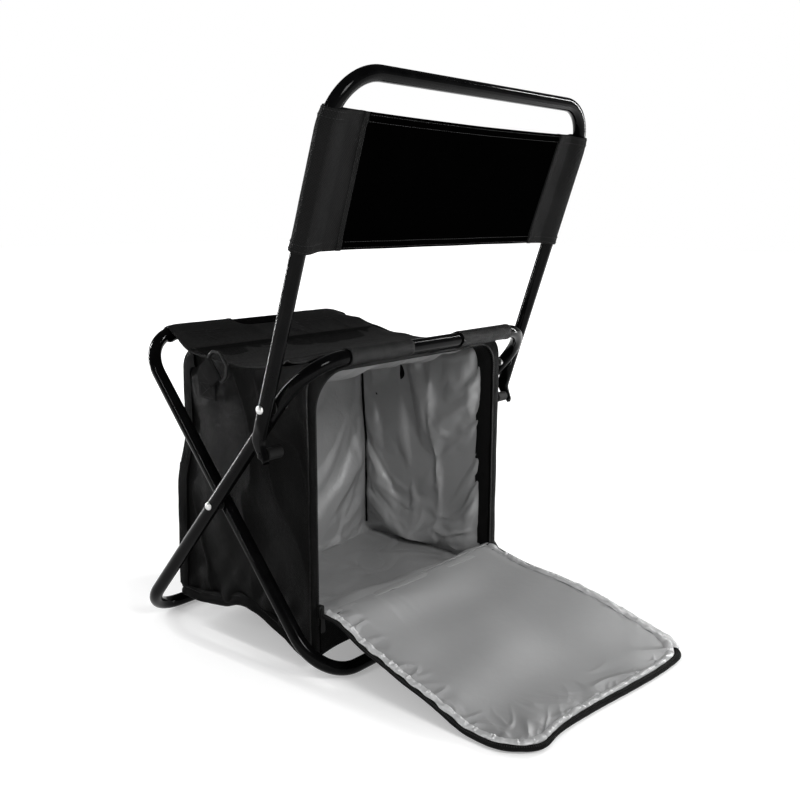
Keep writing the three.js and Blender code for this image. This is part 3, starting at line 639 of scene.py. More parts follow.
def leg_frame(name, half, up, body):
    """A closed loop of tube round the crossing's axis."""
    at = lambda x, s: CROSSING + x * ACROSS + s * up
    corners = [at(-half, LEG_ABOVE), at(-half, -LEG_BELOW), at(half, -LEG_BELOW), at(half, LEG_ABOVE)]
    line = rounded(corners, BEND, closed=True)
    shape = Shape().tube(line, TUBE, closed=True, side=np.cross(ACROSS, up))
    shape.piece(name + "_tube", STEEL, "frame_steel", body, [name])


def back_point(x, rear, up):
    """A place in the backrest's own directions, from its pivot."""
    x, rear, up = (np.asarray(v, float)[..., None] for v in np.broadcast_arrays(x, rear, up))
    return BACK_PIVOT + x * ACROSS + rear * BACK_REAR + up * BACK_UP


TAIL_HALF = 4.5
TAIL_END = 56.5


def back_tail(shape, side):
    """The tube's end, pressed flat and cut in a curve to a tongue that leans back."""
    rows = []
    angle = circle(32)
    cos, sin = np.cos(angle), np.sin(angle)
    for s in np.concatenate([np.linspace(6, 36, 18), np.linspace(37, TAIL_END, 22)]):
        front = -TUBE + 20 * float(smooth(s, 34, 60)) ** 1.3 + 9 * float(smooth(s, 50, 58))
        rear = TUBE + 12.5 * float(smooth(s, 34, 58))
        rear -= 5 * float(smooth(s, 51, 58)) ** 2
        pressed = float(smooth(s, 12, 32))
        half = TUBE + (TAIL_HALF - TUBE) * pressed
        power = 1 - 0.5 * pressed
        x = half * np.sign(sin) * np.abs(sin) ** power
        y = (front + rear) / 2 + (rear - front) / 2 * np.sign(cos) * np.abs(cos) ** power
        rows.append(back_point(side * BACK_HALF + x, y, -s))
    shape.grid(np.array(rows), wrap_v=True).capped(len(rows), len(angle))


def back_frame():
    at = lambda x, s: back_point(x, 0, s)
    line = rounded([at(-BACK_HALF, -7), at(-BACK_HALF, BACK_HEIGHT), at(BACK_HALF, BACK_HEIGHT),
                    at(BACK_HALF, -7)], BEND)
    shape = Shape().tube(line, TUBE, side=BACK_REAR)
    back_tail(shape, 1)
    back_tail(shape, -1)
    shape.piece("backrest_tube", STEEL, "frame_steel", "backrest", ["backrest_frame"])


AXIS = 0.02  # a body of revolution closes this near to its axis


def dome(base, radius, height, direction, steps=10):
    """The profile of a rivet's head, from its rim to its crown."""
    rows = [(base, radius)]
    for k in range(1, steps + 1):
        t = math.pi / 2 * k / steps
        rows.append((base + direction * height * math.sin(t), max(radius * math.cos(t), AXIS)))
    return rows


def rivets():
    for side, sign in SIDES:
        for name, centre, inner, outer, body in (
                ("leg", CROSSING, INNER_HALF, OUTER_HALF, "root"),
                ("backrest", BACK_PIVOT, OUTER_HALF, BACK_HALF, "backrest")):
            head = dome(outer + TUBE - 0.6, 4.9, 3.5, 1)
            tail = [(inner - TUBE + 0.6, 4.9)] + dome(inner - TUBE - 0.9, 4.6, 1.6, -1)
            shape = Shape()
            for profile in (head, tail):
                shape.turned(centre, [(profile[0][0], AXIS)] + profile, sign)
            shape.piece(f"{name}_rivet_{side}_head", BRIGHT, "rivet_steel", body, [f"{name}_rivet_{side}"])
            middle = sign * (inner + outer) / 2
            low, high = middle - 0.8, middle + 0.8
            ring = [(low, 3.3), (low, 7.4), (low + 0.3, 8), (high - 0.3, 8), (high, 7.4), (high, 3.3)]
            Shape().lathe(centre, ring).piece(f"{name}_spacer_{side}", PLASTIC, "washer_plastic", body,
                                             [f"{name}_washer_{side}"])
        centre = BACK_PIVOT + 10.5 * BACK_REAR - 50 * BACK_UP
        outer = BACK_HALF + TAIL_HALF
        pin = [(outer - 0.3, AXIS), (outer - 0.3, 3.6)] + dome(outer + 0.1, 3.6, 0.8, 1)
        inner = BACK_HALF - TAIL_HALF
        shaft = [(inner - 22.2, AXIS), (inner - 22.0, 1.6), (inner - 20.9, 4.0), (inner - 20.4, 4.2),
                 (inner - 20.4, 2.9), (inner + 0.2, 2.9), (inner + 0.2, AXIS)]
        end, start = inner - 0.3, inner - 20.3
        sleeve = [(start, 3.2), (start, 5.6), (start + 0.9, 6.5), (end - 0.9, 6.5), (end, 5.6), (end, 3.2)]
        for profile, name, paint, slot, node in (
                (pin, f"stop_pin_{side}_head", STEEL, "frame_steel", f"stop_pin_{side}"),
                (shaft, f"stop_pin_{side}_shaft", BRIGHT, "rivet_steel", f"stop_pin_{side}"),
                (sleeve, f"stop_cushion_{side}", RUBBER, "stop_rubber", f"stop_sleeve_{side}")):
            Shape().turned(centre, profile, sign).piece(name, paint, slot, "backrest", [node])


leg_frame("outer_leg_frame", OUTER_HALF, OUTER_UP, "root")
leg_frame("inner_leg_frame", INNER_HALF, INNER_UP, "inner_leg")
back_frame()
rivets()


# Backrest cloth: one panel with a wide pocket at each side

POCKET_SEAM = 175.0
CLOTH_ROUND = TUBE + 0.35


def back_bow(x, up):
    """How far the panel is pressed back between its tubes."""
    reach = np.clip(1 - (np.abs(x) / POCKET_SEAM) ** 2, 0, 1)
    height = (up - PANEL_LOW) / (PANEL_HIGH - PANEL_LOW)
    flat = np.stack(np.broadcast_arrays(x, up), -1)
    return 3.0 * reach * (0.8 + 0.4 * height) + reach ** 0.4 * 0.5 * ripple(flat, 140, 3)


def panel_edge(x, up):
    """The panel's upper and lower hems draw in a little between the tubes."""
    middle = (PANEL_LOW + PANEL_HIGH) / 2
    waist = 1.6 * np.clip(1 - (np.abs(x) / BACK_HALF) ** 2, 0, 1)
    return up - (up - middle) / ((PANEL_HIGH - PANEL_LOW) / 2) * waist


def tube_shift(up):
    """How far the side tube has bent inwards at a height, with the cloth that hugs it."""
    over = np.clip(up - (BACK_HEIGHT - BEND), 0, BEND - 1)
    return BEND - np.sqrt(BEND ** 2 - over ** 2) - 0.6 * smooth(PANEL_LOW + 8 - up, 0, 8)


def back_place(side, x, rear, up):
    """A place on the cloth; its sides lean in with the tube's upper bend."""
    lean = np.where(np.abs(x) > POCKET_SEAM - 12, 1.0, np.abs(x) / (POCKET_SEAM - 12)) ** 2
    skew = 3.0 * (up - PANEL_LOW) / (PANEL_HIGH - PANEL_LOW) - 1.5
    outside = np.clip((np.abs(x) - POCKET_SEAM) / (BACK_HALF - POCKET_SEAM), 0, 1)
    shift = skew * (1 - outside) * lean - tube_shift(up) * outside
    return back_point(side * x + np.sign(side * x) * shift, rear, panel_edge(x, up))


def pocket_profile():
    """The pocket's cross-section from seam to seam round its tube, as pairs across and rearwards."""
    rise = CLOTH_ROUND + 0.1

    def leaf(face, shares):
        return [(POCKET_SEAM + (BACK_HALF - POCKET_SEAM) * t,
                 face * (1.2 + (rise - 1.2) * float(smooth(t, 0.45, 0.98)) ** 0.85)) for t in shares]

    turn = arc((BACK_HALF, 0), rise, -math.pi / 2, math.pi / 2, 20)[1:-1]
    return np.array(leaf(-1, np.linspace(0, 1, 30)) + turn + leaf(1, np.linspace(1, 0, 30)))


HEM_LINE = 10.8
HEM_RISE = 0.9
HEM_ROWS = (PANEL_LOW + 2.2, PANEL_LOW + 8.8, PANEL_HIGH - 2.2, PANEL_HIGH - 8.8)
POCKET_CLOTH = 1.15


def hem_at(up):
    """How much thicker the cloth is where its upper or lower hem is turned in."""
    edge = np.minimum(up - PANEL_LOW, PANEL_HIGH - up)
    return smooth(edge, HEM_LINE + 0.7, HEM_LINE - 0.6) * HEM_RISE


def back_cloth():
    ups = np.concatenate([np.linspace(PANEL_LOW, PANEL_LOW + 12, 16),
                          np.linspace(PANEL_LOW + 14, PANEL_HIGH - 14, 60),
                          np.linspace(PANEL_HIGH - 12, PANEL_HIGH, 16)])
    hem = hem_at(ups)
    x, up = lattice(np.linspace(-POCKET_SEAM - 4, POCKET_SEAM + 4, 180), ups)
    front = -1.1 - hem[None] + back_bow(x, up)
    centre = Shape().slab(back_place(1, x, front, up), 2.2 + 2 * hem[None]).piece(
        "backrest_centre_cloth", BACK_PLAIN, "shell_fabric", "backrest")
    sheet(centre)

    shape = Shape()
    profile = pocket_profile()
    outward = outward_of(profile)
    run = run_of(profile)
    flat = paired(*lattice(run, ups))
    slack = bump(run, 26, 20)[:, None] + bump(run, run[-1] - 26, 20)[:, None]
    for side in (1, -1):
        puff = slack * 0.55 * (1 + ripple(flat, 45, 21 + side)) + 0.5 * hem[None] + POCKET_CLOTH
        place = profile[:, None] + outward[:, None] * puff[..., None]
        points = back_place(side, place[..., 0], place[..., 1], np.broadcast_to(ups, place.shape[:2]))
        shape.slab(points[::side], POCKET_CLOTH, cloth=flat[::side])
        # The doubled band where the pocket is sewn down
        bx, bup = lattice(np.linspace(POCKET_SEAM - 4.6, POCKET_SEAM + 4.2, 13), ups)
        arch_up = 1.5 * np.clip(1 - (np.abs(bx - POCKET_SEAM + 0.2) / 4.5) ** 6, 0, 1)
        arch_up = arch_up + 0.25 * bump(bx - POCKET_SEAM, 0, 1.6) + hem[None]
        front = back_place(side, bx, back_bow(bx, bup) - 1.4 - arch_up, bup)
        shape.slab(front[::side], 2.0)
        rear = back_place(side, bx, back_bow(bx, bup) + 1.4 + arch_up, bup)
        shape.slab(rear[::-side], 1.0)
    pockets = shape.piece("backrest_pockets", BACK_CLOTH, "shell_fabric", "backrest", ["backrest_panel"])
    sheet(pockets)

    thread = Shape()

    def sew(side, x, up, thick):
        """A row on the front and one on the rear."""
        for face in (-1, 1):
            line = back_place(side, x, back_bow(x, up) + face * thick, up)
            thread.stitches(line, face * BACK_REAR, 3.6, 2.7, 0.4)

    for side in (1, -1):
        for offset in (-2.9, 2.6):
            up = np.linspace(PANEL_LOW + 1, PANEL_HIGH - 1, 60)
            sew(side, np.full(60, POCKET_SEAM + offset), up, 2.95 + hem_at(up))
        for level in HEM_ROWS:
            spot = profile + outward * 1.75
            line = back_place(side, spot[:, 0], spot[:, 1], np.full(len(spot), level))
            normal = outward[:, :1] * side * ACROSS + outward[:, 1:] * BACK_REAR
            thread.stitches(line[4:-4], normal[4:-4], 3.6, 2.7, 0.36)
    for level in HEM_ROWS:
        sew(1, np.linspace(-POCKET_SEAM + 5, POCKET_SEAM - 5, 90), np.full(90, level), 2.05)
    thread.piece("backrest_stitching", THREAD, "shell_fabric", "backrest")


back_cloth()


# Seat sling

SAG = 23.0
WRAP = TUBE + 1.35
SLING_THICK = 1.5
SLING_REAR_HALF, SLING_FRONT_HALF = 148.2, (149.0, 166.0)
GRIP = 46.0  # half the width of the bare grip on each bar


def sling_height(y):
    share = (y - FOOT_SPREAD) / 146.55
    bars = 6.2 * (bump(REAR_BAR[1] - y, 0, 22) + bump(y - FRONT_BAR[1], 0, 22))
    return BAR_HEIGHT - SAG * (1 - share * share) + bars


def sling_half(y, side=1):
    """Half the sling's width, cut back at its four corners beside the frames' bends."""
    rear = SLING_REAR_HALF + (BAG_HALF - SLING_REAR_HALF) * smooth(REAR_BAR[1] - y, 4, 40)
    narrow = SLING_FRONT_HALF[0 if side > 0 else 1]
    front = narrow + (BAG_HALF - narrow) * smooth(y - FRONT_BAR[1], 0, 74)
    return np.minimum(rear, front)


def bar_drop(x):
    """How far the front bar's bend has fallen away under the sling's corner."""
    over = np.clip(np.abs(x) - (INNER_HALF - BEND), 0, BEND - 1)
    return BEND - np.sqrt(BEND ** 2 - over ** 2)


def sling_wrinkles(x, y):
    flat = paired(x, y)
    behind = smooth(y, 90, 220) * smooth(y, 304, 285)
    rear = 3.6 * behind * folds(paired(x * 0.42 + y * 0.25, y - x * 0.12), 40, 31)
    front = 2.2 * smooth(y, 140, 40) * smooth(y, 6, 30) * folds(paired(x, y * 0.5), 60, 57)
    broad = 1.8 * ripple(flat, 170, 5)
    edge = smooth(y, 2, 22) * smooth(y, 305, 285)
    side = smooth(np.abs(x), 120, 165)
    crest = 3.0 * smooth(x, -120, -162) * bump(y, 42, 26)
    height = (rear + front + broad) * edge + edge * side * 1.4 * ripple(flat, 60, 91) + crest
    return np.where(height > 0, height, 0.25 * height)  # the bag's top lies close below


def sling_top(x, y):
    """Places on the sling's upper face, which drops at its corners with the front bar."""
    z = sling_height(y) + sling_wrinkles(x, y) + SLING_THICK / 2
    return np.stack([x, y, z - 0.75 * bar_drop(x) * smooth(y - FRONT_BAR[1], 42, 6)], -1)


def seat_sling():
    shape = Shape()
    half_steps = np.concatenate([np.linspace(0, 40, 14), np.linspace(41, 51, 11), np.linspace(54, 150, 34)])
    share = np.concatenate([-half_steps[::-1], half_steps[1:]]) / 150
    steps = np.linspace(0, 1, 130)
    x_bar = share * SLING_REAR_HALF

    def scoop(x):
        inside = np.clip(1 - (np.abs(x) / GRIP) ** 4, 0, 1)
        return 17 * inside ** 0.5

    grid = []
    for s, x0 in zip(share, x_bar):
        low = FRONT_BAR[1] + 3 + scoop(x0)
        high = REAR_BAR[1] - 3 - scoop(x0)
        y = low + (high - low) * steps
        grid.append(sling_top(s * sling_half(y, s), y))
    shape.slab(np.array(grid), SLING_THICK)
    for bar, outside in ((REAR_BAR, 1), (FRONT_BAR, -1)):
        for side in (1, -1):
            rows = []
            half = SLING_REAR_HALF if outside > 0 else SLING_FRONT_HALF[0 if side > 0 else 1]
            xs = np.linspace(GRIP, half, 44)
            for angle in np.linspace(math.radians(108), math.radians(-92), 34):
                rows.append((bar[1] + outside * WRAP * math.cos(angle), bar[2] + WRAP * math.sin(angle)))
            under = rows[-1]
            for t in np.linspace(0, 1, 14)[1:]:
                y = under[0] - outside * 27 * t
                target = float(sling_height(np.array(y))) - SLING_THICK - DOUBLE_CLOTH
                z = under[1] + (target - under[1]) * smooth(t, 0.15, 1.0)
                rows.append((y, float(z)))
            rows = np.array(rows)
            points = np.empty((len(xs), len(rows), 3))
            points[..., 0] = side * xs[:, None]
            points[..., 1:] = rows[None]
            if outside < 0:
                fall = bar_drop(xs)[:, None, None]
                points[..., 1:] -= fall * INNER_UP[None, None, 1:]
            outward = normals_of(points)
            outward = outward * (side * outside)
            run = np.arange(len(rows)) / len(rows)
            loose = smooth(run, 0.02, 0.2)[None] * (0.35 + 0.35 * ripple(points, 26, 11 + side))
            hem = 0.5 * bump(xs, GRIP + 3, 3)[:, None] + 0.5 * bump(xs, half - 3, 3)[:, None]
            points = points + outward * (loose + hem)[..., None]
            shape.slab(points[::side * outside], DOUBLE_CLOTH)
    obj = shape.piece("seat_sling", SEAT_CLOTH, "shell_fabric", None,
                      ["seat_panel", "seat_tunnel_front_left", "seat_tunnel_front_right",
                       "seat_tunnel_rear_left", "seat_tunnel_rear_right"])
    sheet(obj)
    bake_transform(obj)
    thread = Shape()
    for bar, outside in ((REAR_BAR, 1), (FRONT_BAR, -1)):
        for away in (20.0, 24.5):
            for side in (1, -1):
                x = side * np.linspace(GRIP + 3, 147, 40)
                thread.stitches(sling_top(x, np.full(40, bar[1] - outside * away)), (0, 0, 1))
    for side in (1, -1):
        y = np.linspace(30, 276, 120)
        thread.stitches(sling_top(side * (sling_half(y, side) - 3.5), y), (0, 0, 1))
    sewn = thread.piece("seat_stitching", THREAD, "shell_fabric", None)
    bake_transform(sewn)


seat_sling()


# Cooler bag

def fold_flat(obj):
    """Gives a piece of the bag a mesh of its own."""
    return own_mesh(obj)


def bag_low(y, near=1.0):
    """Height of the bag's lower side seam: lifted in the middle of the near side, hanging at the door."""
    return 33 + (2 + 15 * near) * bump(y, 160, 45) - 14 * smooth(y, 215, 262)


def bag_high(y):
    return sling_height(np.clip(y, 38, 277)) - 2.4


def front_lean(z):
    """The front wall hangs a little forward at its foot and back at its top."""
    return 9.5 * smooth(z, 180, 245) - 4.0 * smooth(z, 170, 40)


def side_lean(y, z):
    """The side walls draw in towards the sling's narrow front end and swell out at the door."""
    return 8.5 * smooth(y, 130, 34) * smooth(z, 165, 265) - 4.6 * smooth(y, 190, 278) * smooth(z, 352, 300)


def side_depth(y, z):
    """How far a side wall stands out from its flat place."""
    low, high = bag_low(y), bag_high(y)
    a = np.clip((y - BAG_FRONT) / (BAG_REAR - BAG_FRONT), 0, 1)
    b = np.clip((z - low) / (high - low), 0, 1)
    pillow = 2.2 * np.sin(np.pi * a) ** 0.7 * np.sin(np.pi * b) ** 0.6
    flat = paired(y, z * 0.8)
    inside = smooth(a, 0, 0.12) * smooth(a, 1, 0.93) * smooth(b, 0, 0.08) * smooth(b, 1, 0.95)
    waves = 2.0 * ripple(flat, 150, 41) + 0.9 * ripple(flat, 62, 42)
    waves = waves + 1.8 * folds(paired(y + z * 0.3, z * 0.45), 70, 44)
    foot = 3.0 * smooth(b, 0.3, 0.02) * ripple(flat, 34, 43)
    return pillow + inside * waves + foot * smooth(a, 0, 0.1) - side_lean(y, z)


def side_outline(y_share, z_share, near):
    """Place on a side wall; its front corners are rounded."""
    y = BAG_FRONT + 2 + (BAG_REAR - BAG_FRONT - 2) * y_share
    low, high = bag_low(y, near), bag_high(y)
    z = low + (high - low) * z_share
    from_low, from_high = z - low, high - z
    inset = np.zeros_like(z)
    for away, radius in ((from_low, 20.0), (from_high, 24.0)):
        t = np.clip(radius - away, 0, radius)
        inset = np.maximum(inset, radius - np.sqrt(np.maximum(radius ** 2 - t ** 2, 0)))
    y = y + (inset + front_lean(z)) * (1 - y_share) ** 2
    return y, z


def bag_sides():
    for name, sign in SIDES:
        a, b = lattice(np.linspace(0, 1, 110), np.linspace(0, 1, 130))
        y, z = side_outline(a, b, float(sign > 0))
        ring = np.hypot(y - FOOT_SPREAD + 32, z - BAR_HEIGHT + (31 if sign > 0 else 59))
        x = BAG_HALF + side_depth(y, z) - 1.8 * smooth(ring, 48, 18)  # a dent where the ring hangs
        points = np.stack([sign * x, y, z], -1)
        shape = Shape().slab(points[::sign], BAG_WALL, cloth=paired(y, z)[::sign])
        obj = shape.piece(f"bag_side_{name}", BAG_CLOTH, "shell_fabric", "root", [f"bag_side_panel_{name}"])
        fold_flat(obj)


def band_profile(steps=20):
    """The wall that runs under the bag, up its front and back over its top, as y and z."""
    rear = BAG_REAR - 6
    rows = [(rear, 31.5)] + [(y, 33.0) for y in np.linspace(rear - 10, BAG_FRONT + 24, 24)]
    rows += arc((BAG_FRONT + 20, 53), 20, -math.pi / 2, -math.pi, steps)
    rows += [(BAG_FRONT, z) for z in np.linspace(58, 318, 46)]
    rows += arc((BAG_FRONT + 24, 326), 24, math.pi, math.pi / 2, steps)
    for y in np.linspace(BAG_FRONT + 30, rear, 24):
        rows.append((y, float(bag_high(np.array(max(y, 60.0)))) - 2.0))
    return np.array(rows)


def bag_band():
    profile = band_profile()
    shares = np.linspace(-1, 1, 130)
    outward = -outward_of(profile)
    half = BAG_HALF - 0.5 - side_lean(profile[:, 0], profile[:, 1])
    flat = paired(*lattice(shares * BAG_HALF, run_of(profile)))
    across = np.clip(1 - np.abs(shares) ** 4, 0, 1)[:, None]
    front = smooth(profile[:, 1], 40, 90) * smooth(profile[:, 1], 345, 300)
    under = (profile[:, 1] < 50) * 1.0
    swell = across * (front * (1.5 + 1.6 * ripple(flat, 140, 61) + 1.0 * ripple(flat, 55, 62))
                      + under * (3.5 + 2.0 * ripple(flat, 90, 63)))
    points = np.empty((len(shares), len(profile), 3))
    points[..., 0] = shares[:, None] * half[None]
    points[..., 1:] = profile[None] + outward[None] * swell[..., None]
    low = bag_low(profile[:, 0][None], (shares[:, None] > 0) * 1.0) - 30.5
    points[..., 2] += under[None] * low * np.abs(shares)[:, None] ** 3
    points[..., 1] += front_lean(profile[:, 1])[None] * smooth(profile[:, 0], 200, 60)[None]
    shape = Shape().slab(points[::-1], BAG_WALL, cloth=flat[::-1])
    obj = shape.piece("bag_wrap", BAG_CLOTH, "shell_fabric", "root",
                      ["bag_front_panel", "bag_top_panel", "bag_base_panel", "base_board"])
    fold_flat(obj)


def front_bindings():
    """The taped seam up the front edge of each side and round its upper corner."""
    for name, sign in SIDES:
        z = np.concatenate([np.linspace(47, 322, 70), np.full(16, 322.0)])
        turn = np.concatenate([np.zeros(70), np.linspace(0, math.pi / 2, 16)])
        line = np.array([(BAG_FRONT + 27 - 24 * math.cos(angle), height + 24 * math.sin(angle))
                         for height, angle in zip(z, turn)])
        inward = outward_of(line)
        rows = []
        for w, h in ((-3.4, -3.0), (-3.8, 0.6), (-2.4, 2.1), (0, 2.4), (4, 2.3), (9, 2.2), (13, 1.7),
                     (13.3, -1.0)):
            spot = line + inward * w
            spot[:, 0] += front_lean(spot[:, 1])
            lift = BAG_HALF + h + 0.7 * ripple(spot, 45, 71) - side_lean(spot[:, 0], spot[:, 1])
            rows.append(np.stack([sign * lift, spot[:, 0], spot[:, 1]], 1))
        shape = Shape().slab(np.array(rows)[::-sign], 0.8)
        obj = shape.piece(f"front_binding_{name}", BINDING, "binding_tape", "root",
                          [f"edge_binding_{name}"])
        fold_flat(obj)


def foot_binding():
    """The bound roll round the foot of the bag, which follows its wavy lower seam."""
    line = rounded([(BAG_HALF, BAG_REAR, 0), (BAG_HALF, BAG_FRONT, 0), (-BAG_HALF, BAG_FRONT, 0),
                    (-BAG_HALF, BAG_REAR, 0)], 10, 10)
    line = filled(line, 3.0)
    low = bag_low(line[:, 1], smooth(line[:, 0], -BAG_HALF, BAG_HALF))
    line[:, 2] = low + 7.0 + 1.2 * ripple(line, 60, 81)
    line[:, 1] += front_lean(line[:, 2]) * smooth(line[:, 1], 150, 40)
    outward = unit(np.cross(unit(np.gradient(line, axis=0)), (0, 0, 1.0)))
    outward *= np.sign((outward * (line - [0, 157, 0])).sum(1, keepdims=True))
    rows = []
    for up, out in ((7.0, -0.5), (7.2, 1.4), (5.2, 2.6), (2.0, 2.2), (0, 2.9), (-2.5, 3.9), (-5.2, 3.7),
                    (-7.0, 1.8), (-7.2, -0.5)):
        wave = 0.9 * ripple(line + [0, 0, up * 2], 30, 83)
        rows.append(line + outward * (out + wave)[..., None] + np.array([0, 0, up]))
    obj = Shape().slab(np.array(rows), 1.0).piece("foot_binding", BINDING, "binding_tape", "root",
                                                  ["bottom_piping"])
    fold_flat(obj)
    thread = Shape()
    thread.stitches(line + outward * 3.3 + [0, 0, 4.6], outward)
    fold_flat(thread.piece("foot_stitching", THREAD, "binding_tape", "root"))


def front_pocket():
    """A flat pocket on the front wall with a padded flap over its mouth."""
    shape = Shape()
    for low, high, depth, half, radius, rim, seed in (
            (60, 184, 8.5, 159, 22, 20, 3),
            (181, 208, 13.0, 164, 7, 6, 4)):
        s, t = lattice(np.linspace(-1, 1, 90), np.linspace(-1, 1, 60))
        middle, tall = (low + high) / 2, (high - low) / 2
        z = middle + tall * t
        inset = np.maximum(radius - (tall - np.abs(z - middle)), 0)
        width = half - radius + np.sqrt(np.maximum(radius ** 2 - inset ** 2, 0))
        x = s * width
        edge = np.minimum(half - np.abs(x), tall - np.abs(z - middle))
        flat = paired(x, z)
        rise = depth * smooth(edge, -0.5, rim) ** 0.6
        rise = rise + smooth(edge, 2, 20) * 0.9 * ripple(flat, 60, 100 + seed)
        front = BAG_FRONT + 2.0 + front_lean(z) - rise - 2.4
        shape.slab(np.stack([x, front, z], -1)[::-1, ::-1], np.maximum(rise[::-1, ::-1] * 0.5, 1.2),
                   cloth=flat[::-1, ::-1])
    obj = shape.piece("front_pocket_cloth", BAG_CLOTH, "shell_fabric", "root",
                      ["front_pocket", "front_pocket_flap"])
    fold_flat(obj)


bag_sides()
bag_band()
front_bindings()
foot_binding()
front_pocket()


# Door face, zip and door

def arch(half, foot, top, radius, side=24, corner=18, across=24):
    """Up one side, over the top and down the other, as pairs across and up."""
    low, wide = top - radius, half - radius
    rows = [(half, z) for z in np.linspace(foot, low, side, endpoint=False)]
    rows += arc((wide, low), radius, 0, math.pi / 2, corner + 1)[:-1]
    rows += [(x, top) for x in np.linspace(wide, -wide, across, endpoint=False)]
    rows += arc((-wide, low), radius, math.pi / 2, math.pi, corner + 1)[:-1]
    rows += [(-half, z) for z in np.linspace(low, foot, side)]
    return np.array(rows)


def near_side(x):
    """The mouth's near side stands out a little from the middle of its width."""
    return 5.5 * smooth(x, 90, 161) * smooth(x, 185, 163)


def corner_reach(across, along, radius):
    """How far a box corner rounded by a radius lies from the middle of the door's own corner."""
    kept = DOOR_CORNER - radius
    total = across + along
    arc = kept * total + np.sqrt(np.maximum((kept * total) ** 2 - 2 * kept ** 2 + radius ** 2, 0))
    flat = DOOR_CORNER / np.maximum(np.maximum(across, along), 1e-6)
    beside = flat * np.minimum(across, along)
    return np.where(beside <= kept, flat, arc)


def square_corners(x, length, far=40.0):
    """Draws the two free corners of the flap, or of its mouth, out a little."""
    middle, end = DOOR_HALF - DOOR_CORNER, DOOR_LENGTH - DOOR_CORNER
    across, along = np.abs(x) - middle, length - end
    inside = (across > 0) & (along > 0)
    away = np.maximum(np.sqrt(across ** 2 + along ** 2), 1e-6)
    radius = np.where(x > 0, 44.0, far)
    reach = corner_reach(np.where(inside, across / away, 0.7), np.where(inside, along / away, 0.7), radius)
    grown = np.where(inside, 1 + (reach / DOOR_CORNER - 1) * np.clip(away / DOOR_CORNER, 0, 1.15) ** 2, 1)
    return np.sign(x) * (middle + across * grown), end + along * grown


def mouth_line(pair):
    """The mouth's own line, whose far corner is rounded more tightly than the door's."""
    x, length = square_corners(pair[..., 0], pair[..., 1] - HINGE[2], 30.0)
    return paired(x, length + HINGE[2])


def face_point(pair, y):
    """A place on the bag's rear face from its pair across and up."""
    across = pair[..., 0] + near_side(pair[..., 0])
    return np.stack([across, np.broadcast_to(y, pair.shape[:-1]), pair[..., 1]], -1)


def back_face():
    outer = arch(BAG_HALF + 5.0, 26, 354, 24)
    inner = arch(DOOR_HALF + 0.3, 26, 347.4, DOOR_CORNER + 0.3)
    shares = np.linspace(0, 1, 9)
    inner = mouth_line(inner)
    ring = outer[:, None] * (1 - shares)[None, :, None] + inner[:, None] * shares[None, :, None]
    pad = np.sin(np.pi * shares)[None] - 0.8 + 0.4 * ripple(ring, 60, 201)
    shape = Shape().slab(face_point(ring, BAG_REAR - 1.5 + pad), 4.5)
    x, z = lattice(np.linspace(-DOOR_HALF, DOOR_HALF, 80), np.linspace(27, 67.5, 16))
    y = BAG_REAR - 0.5 + 1.2 * ripple(paired(x, z), 80, 203)
    shape.slab(np.stack([x, y, z], -1)[::-1], 4.0)
    shape.piece("bag_door_face", BAG_CLOTH, "shell_fabric", "root", ["bag_back_panel"])

    # The mouth's facing runs inwards, furthest on the far side
    line = arch(DOOR_HALF - 0.4, 66, 346.6, DOOR_CORNER - 0.4, 50, 30, 50)
    shares = np.linspace(0, 1, 8)
    x, z = np.broadcast_arrays(line[:, :1] + 20 * shares, line[:, 1:])
    depth = BAG_REAR - 1.0 - (14.0 + 8.0 * smooth(line[:, :1], 60, -120)) * shares[None]
    depth = depth - ripple(paired(x, z), 60, 207)
    inward = -outward_of(line)
    ring = mouth_line(line[:, None] + inward[:, None] * (1.2 * np.sin(np.pi * shares))[None, :, None])
    facing = Shape().slab(face_point(ring, depth)[::-1], 0.9)
    fold_flat(facing.piece("mouth_facing", ZIP_TAPE, "binding_tape", "root"))


def teeth(shape, line, spot, outward_3d, normal_3d, pitch=2.0, reach=1.25):
    """A row of moulded teeth along a line."""
    run = run_of(line)
    for at in np.arange(pitch / 2, run[-1], pitch):
        centre, out, up = (read_at(at, run, values) for values in (spot, outward_3d, normal_3d))
        along = np.cross(out, up)
        shape.box(centre, along / np.linalg.norm(along) * 0.55, out * reach, up * 0.95)


def bag_zip():
    line = arch(DOOR_HALF + 0.6, 61, 347.6, DOOR_CORNER + 0.6, 90, 50, 70)
    out = outward_of(line)
    rows = []
    for width, y in ((-0.2, 280.9), (0.4, 282.0), (1.2, 282.4), (4.2, 282.3), (5.8, 281.6), (6.0, 280.6)):
        rows.append(face_point(mouth_line(line + out * width), y + 0.15 * ripple(line, 50, 211)))
    Shape().slab(np.array(rows)[::-1], 0.9).piece("bag_zip_cloth", ZIP_TAPE, "zip_black", "root",
                                                  ["bag_zip_tape"])
    spot = face_point(mouth_line(line + out * 0.4), 282.7)
    shape = Shape()
    normal = np.tile([0, 1.0, 0], (len(line), 1))
    teeth(shape, line, spot, face_point(out, 0.0), normal)
    shape.piece("bag_zip_teeth", ZIP, "zip_black", "root")
    thread = Shape()
    for width in (3.2, 5.0):
        thread.stitches(face_point(mouth_line(line + out * width), 282.35), normal)
    thread.piece("bag_zip_stitching", THREAD, "zip_black", "root")


def door_sag(x, length):
    """How far the open door departs from its plane: it bows up at the hinge and lies on the floor."""
    t = smooth(x, -DOOR_HALF, DOOR_HALF)
    near = 9.5 * bump(length, 24, 30) - 12.0 * bump(length, 208, 50) - 3 * bump(length, 130, 30)
    far = 4.0 * bump(length, 165, 60) - 2.0 * bump(length, 70, 30)
    return near * t + far * (1 - t)


